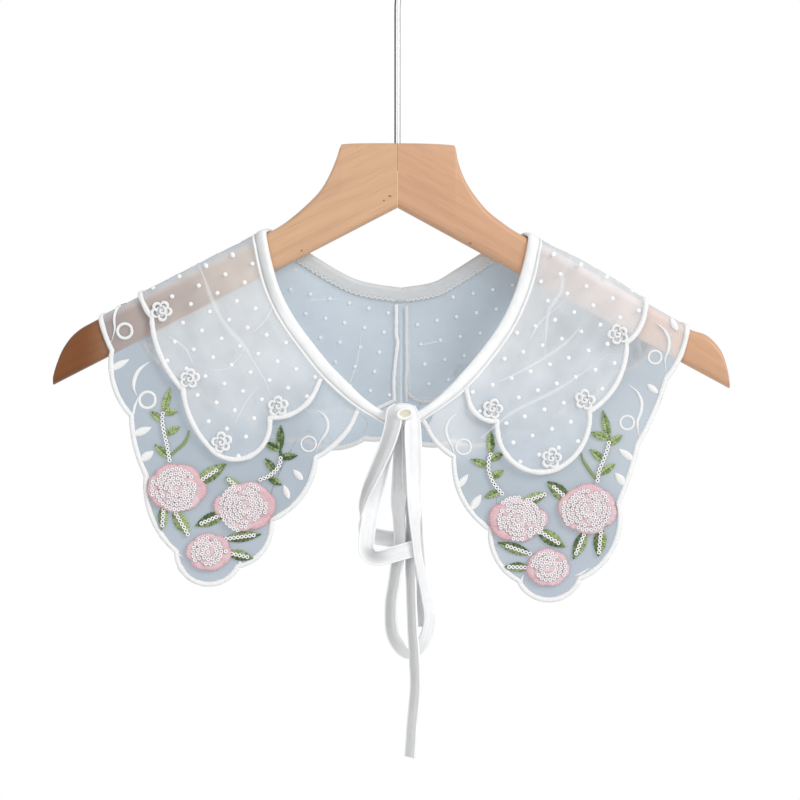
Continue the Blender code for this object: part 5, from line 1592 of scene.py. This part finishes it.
def tape_ring(side, share, spot, step):
    """The folded tape across one place on the neck seam."""
    length, scale = share * SEAMS[side.name].lengths[-1], tape_scale(share)
    soft = 1.0 + 0.05 * wobble(length, side.sign, 7.0, 2.0)
    # Painted shade: the tape darkens across the back of the neck, and the upper part of the left tape is
    # greyer.
    shade = blend((0.97, 0.98, 0.985), BACK_TAPE_PAINTED_SHADE, ease((4.0 - spot[1]) / 12.0))
    grey = ease((56.0 - spot[1]) / 30.0) * ease((spot[1] + 4.0) / 8.0) if side is LEFT else 0.0
    return [(place(side, spot[0] + step[0] * a * scale, spot[1] + step[1] * a * scale, b * soft),
             (side.sign * length, a), tuple(c * light * (1.0 - grey * dim) for c in shade))
            for a, b, light, dim in TAPE_PROFILE]


def tape_stitch(work, side, spot, nearby, step, low, high, stitch, colour):
    """One stitch on the tape from low, inward of a place, to high, inward of the next."""
    start = (spot[0] + step[0] * low, spot[1] + step[1] * low)
    end = (nearby[0] + step[0] * high, nearby[1] + step[1] * high)

    def put(run, reach, height):
        return place(side, run, reach, stitch.base + stitch.way * height)

    halves = [stitch.end, stitch.middle, stitch.end]
    stroke(work, [start, blend(start, end, 0.5), end], halves, stitch.height, put, colour)


def binding():
    """One folded tape from the knot round the neck to the knot, with its row of edge stitches."""
    halves, stitches = [], Work()
    for side in SIDES:
        seam = SEAMS[side.name]
        part = []
        for k, (share, spot, step) in enumerate(tape_places(side)):
            part.append(tape_ring(side, share, spot, step))
            if k % 2 == 0 and 0.01 < share < 0.985:
                slip, scale = 0.5 if k % 4 else -0.3, tape_scale(share)
                # Painted shade: the stitches darken across the back of the neck.
                colour = blend((0.98, 0.98, 0.98), (0.80, 0.83, 0.85), ease((4.0 - spot[1]) / 12.0))
                tape_stitch(stitches, side, spot, seam.at_share(min(1.0, share + 0.0042)), step,
                            (2.1 + slip) * scale, (2.3 - slip) * scale, FRONT_STITCH, colour)
            if 0.01 < share < 0.42:
                low, high = (0.6, 2.0) if k % 2 else (2.0, 0.6)
                tape_stitch(stitches, side, spot, seam.at_share(share + 0.0062), step, low, high, BACK_STITCH,
                            (0.96, 0.97, 0.98))
        halves.append(part)
    left, right = halves[0][::-1], halves[1]
    left[-1] = [((a[0] + b[0]) / 2, *a[1:]) for a, b in zip(left[-1], right[0])]
    work = Work()
    work.grid(left + right[1:], closed=True, flip=True)
    work.cap(left[0], (0.95, 0.95, 0.95), True)
    work.cap(right[-1], (0.95, 0.95, 0.95))
    tape = work.piece("neck_tape", "satin", SATIN, node="neck_binding")
    return tape, stitches.piece("neck_tape_stitches", "thread", WHITE_THREAD)


def knot():
    """The soft knot: a rounded body under the strands, and the rimmed eye that its fold leaves."""
    work, rows = Work(), []
    for j in range(31):
        polar, row = pi * j / 30, []
        for i, (a, b) in enumerate(circle(48)):
            x, y, z = sin(polar) * b, -sin(polar) * a, cos(polar)
            size = (abs(x) ** 2.4 + abs(y) ** 2.4 + abs(z) ** 2.4) ** (1 / 2.4)
            px, py, pz = x / size, y / size, z / size
            fold = 0.05 * sin(9.0 * px + 5.0 * pz) * ease(1.0 - abs(pz))
            offset = Vector((KNOT_SIZE[0] * px * (1.0 - 0.10 * pz), KNOT_SIZE[1] * py * (1.0 + fold),
                             KNOT_SIZE[2] * pz))
            row.append(((Vector(KNOT_CENTRE) + offset) * MM, (i * 0.9, j * 0.7), FULL))
        rows.append(row)
    work.grid(rows, closed=True)
    eye_x, eye_y, eye_z = EYE_CENTRE

    def put(x, z, height):
        return Vector((eye_x + x, eye_y - height, eye_z + z)) * MM

    rim = [(3.7 * a - 0.5 * b, 2.5 * b + 0.8 * a) for a, b in circle(28)]
    stroke(work, rim + rim[:1], [0.85] * 29, 1.2, put, base=-0.6)
    # Painted shade: a dim cream disc inside the eye.
    work.cap([put(x * 0.88, z * 0.88, -0.3) for x, z in rim], (0.80, 0.77, 0.60), False, put(-0.5, 0.0, -0.5))
    work.piece("knot_folds", "satin", SATIN, node="bow_knot")


# Hanger
def arm_outline(side):
    """Upper edge of the arm, straight beyond the curve at the neck."""
    slope = radians(side.slope)
    return catmull([(x, side.fold_z - (x - side.fold_x) * tan(slope) - WOOD_CLEARANCE / cos(slope)
                     if top is None else top) for x, top in ARM_OUTLINE[side.name]], 5)


def hanger_arm(side):
    """One arm of rounded rectangular section, with a few small knots in its front and painted shade towards
    the tip of the left arm.
    """
    left, rows = side.sign < 0, []
    for x, top in arm_outline(side):
        x = max(x, MITRE_HALF_GAP)
        bottom = HANGER_APEX_Z - x * tan(radians(side.lower_slope))
        radius = min(HANGER_EDGE_RADIUS, (top - bottom) * 0.45)
        half = HANGER_THICKNESS / 2 - radius
        sx = side.sign * x
        # Painted shade darkens the left arm towards its tip.
        tint = blend(FULL, ARM_TIP_PAINTED_SHADE, ease((x - 130.0) / 42.0)) if left else RIGHT_ARM_TINT
        ring = []
        for front, inner, first in ((1, top - radius, 0), (1, bottom + radius, 90),
                                    (-1, bottom + radius, 180), (-1, top - radius, 270)):
            for turn in range(first, first + 91, 15):
                y = hanger_bow(sx) + front * half + radius * sin(radians(turn))
                ring.append((Vector((sx, y, inner + radius * cos(radians(turn)))) * MM, (x, turn), tint))
        rows.append(ring)
    work = Work()
    work.grid(rows, closed=True, flip=not left)
    work.cap(rows[0], rows[0][0][2], left)
    work.cap(rows[-1], rows[-1][0][2], not left)
    for px, py, size in WOOD_KNOTS[side.name]:
        x, z = at(px, py)
        y = hanger_bow(x) - HANGER_THICKNESS / 2 - 0.02
        ring = [Vector((x + a, y, z + 0.7 * b)) * MM for a, b in circle(12, size)]
        work.cap(ring, (0.42, 0.36, 0.32), False, Vector((x, y, z)) * MM)
    beech = wood(f"beech_{side.name}", -radians(side.slope) * side.sign, WARM[side.name])
    work.piece(f"arm_{side.name}", "wood", beech, node=f"hanger_arm_{side.name}")


def wire_painted_reflection(angle):
    """Painted reflection and shade on the polished wire: dark down its left, blue-grey down its right, white
    between.
    """
    left = ease((-cos(angle) - 0.35) / 0.3)
    right = ease((cos(angle) - 0.6) / 0.25)
    return blend(blend(FULL, (0.10, 0.09, 0.08), left), (0.55, 0.60, 0.66), right)


def hook():
    """The wire: a straight shank, a bend into the open hook, and a rounded tip."""
    start = radians(HOOK_START_ANGLE)
    bend = HOOK_RADIUS * cos(start) / (1.0 - cos(start))
    bend_z = HOOK_CENTRE_Z + (HOOK_RADIUS + bend) * sin(start)
    points = [(0.0, HANGER_TOP_Z - SHANK_SEAT + 0.3), (0.0, HANGER_TOP_Z), (0.0, -110.0), (0.0, bend_z)]
    for angle in (-start * step / 16 for step in range(1, 16)):
        points.append((bend * (1.0 - cos(angle)), bend_z + bend * sin(angle)))
    for step in range(49):
        angle = radians(HOOK_START_ANGLE + (HOOK_END_ANGLE - HOOK_START_ANGLE) * step / 48)
        points.append((HOOK_RADIUS * cos(angle), HOOK_CENTRE_Z + HOOK_RADIUS * sin(angle)))
    rings = []
    for index, ((x, z), length) in enumerate(zip(points, lengths_of(points))):
        before, after = beside(points, index)
        tangent = Vector((after[0] - before[0], 0.0, after[1] - before[1])).normalized()
        across = Vector((tangent[2], 0.0, -tangent[0]))
        rings.append([((Vector((x, b, z)) + across * a) * MM, (length, k), wire_painted_reflection(2 * pi * k / WIRE_SIDES))
                      for k, (a, b) in enumerate(circle(WIRE_SIDES, WIRE_RADIUS))])
    tip = Vector((x, 0.0, z)) * MM
    last = rings[-1]
    for push, scale in ((0.35, 0.94), (0.75, 0.70), (0.95, 0.35)):
        rings.append([(tip + tangent * push * MM + (point - tip) * scale, uv, tint)
                      for point, uv, tint in last])
    work = Work()
    work.grid(rings, closed=True)
    work.cap(rings[-1], FULL, False, tip + tangent * MM)
    work.cap(rings[0], FULL, True)
    work.piece("hook_wire", "steel", steel(), node="hanger_hook")


# Stage
def stage():
    """A pale floor under the hanging object, a white surround and a soft light from the right.

    Seen through the sheer cloth the surround is blue-grey, like the wall behind the photographed collar.
    """
    scene = bpy.context.scene
    scene.view_settings.view_transform = "Standard"
    scene.world = bpy.data.worlds.new("surround")
    scene.world.use_nodes = True
    tree = scene.world.node_tree
    background = tree.nodes["Background"]
    seen = node(tree, "LightPath", "Is Camera Ray")
    through = node(tree, "LightPath", "Transparent Depth")
    level = node(tree, "MapRange", "Result", {"Value": seen, "To Min": AMBIENT, "To Max": 1.0})
    tree.links.new(level, background.inputs["Strength"])
    behind = combine(tree, "MULTIPLY", through, seen, True)
    wall = node(tree, "Mix", "Result", {"Factor": behind, "A": (1.0, 1.0, 1.0, 1.0),
                                        "B": (*WALL_SEEN_THROUGH, 1.0)}, data_type="RGBA")
    tree.links.new(wall, background.inputs["Color"])
    add_area("key", (1.9, -1.7, 0.95), 1.1, 36.0)
    add_area("fill", (-1.6, -1.9, 0.1), 1.6, 7.0)
    floor = Work()
    ring = [Vector((x, y, FLOOR_Z)) for x, y in circle(64, FLOOR_RADIUS)]
    floor.cap(ring, FULL, False, Vector((0.0, 0.0, FLOOR_Z)))
    made, tree, shader = new_material("floor_paint", Roughness=0.8)
    tone = ramp(tree, cloud(tree, coords(tree, "Object"), 6.0), (0.3, (0.80, 0.80, 0.79)),
                (0.7, (0.84, 0.84, 0.83)))
    colour_by(tree, shader, tone)
    floor.build("floor", made)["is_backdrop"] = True


def add_area(name, location, size, power):
    data = bpy.data.lights.new(name, "AREA")
    data.size = size
    data.energy = power
    obj = bpy.data.objects.new(name, data)
    obj.location = location
    obj.rotation_euler = (Vector((0.0, 0.0, -0.29)) - Vector(location)).to_track_quat("-Z", "Y").to_euler()
    bpy.context.scene.collection.objects.link(obj)


def build():
    camera()
    bow()
    hook()
    tape, sewn = binding()
    knot()
    seed = 1.0
    for side in SIDES:
        hanger_arm(side)
        under, under_cord, under_flat, under_area = collar_shell(
            f"under_cloth_{side.name}", side, UNDER_EDGE[side.name], under_lift, under_tint_and_painted_light, UNDER_CLOTH,
            "organza", f"under_collar_{side.name}")
        top, top_cord, top_flat, top_area = collar_shell(
            f"top_cloth_{side.name}", side, TOP_EDGE[side.name], top_lift, top_tint_and_painted_light, TOP_CLOTH,
            "dotted_organza", f"top_collar_{side.name}")
        white = white_work(side)
        dotted = dots(side)
        folds = creases(side)
        worked = [rosette(name, side, *row, seed=index * 2.3 + side.sign)
                  for index, (name, *row) in enumerate(rosette_places(side))]
        for index, row in enumerate(ROSES[side.name], 1):
            rose(f"rose_{side.name}_{index}", side, row, seed)
            seed += 1.0
        for index, row in enumerate(LEAVES[side.name], 1):
            leaf(f"leaf_{side.name}_{index}", side, row, seed)
            seed += 1.0
    for name, row in VINES.items():
        vine(name, LEFT if name.startswith("left") else RIGHT, row, seed)
        seed += 1.0
    stage()


def corners(box):
    return [[float(value) for value in corner] for corner in box]


build()
{"cad": corners(cad_box), "visual": corners(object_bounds())}
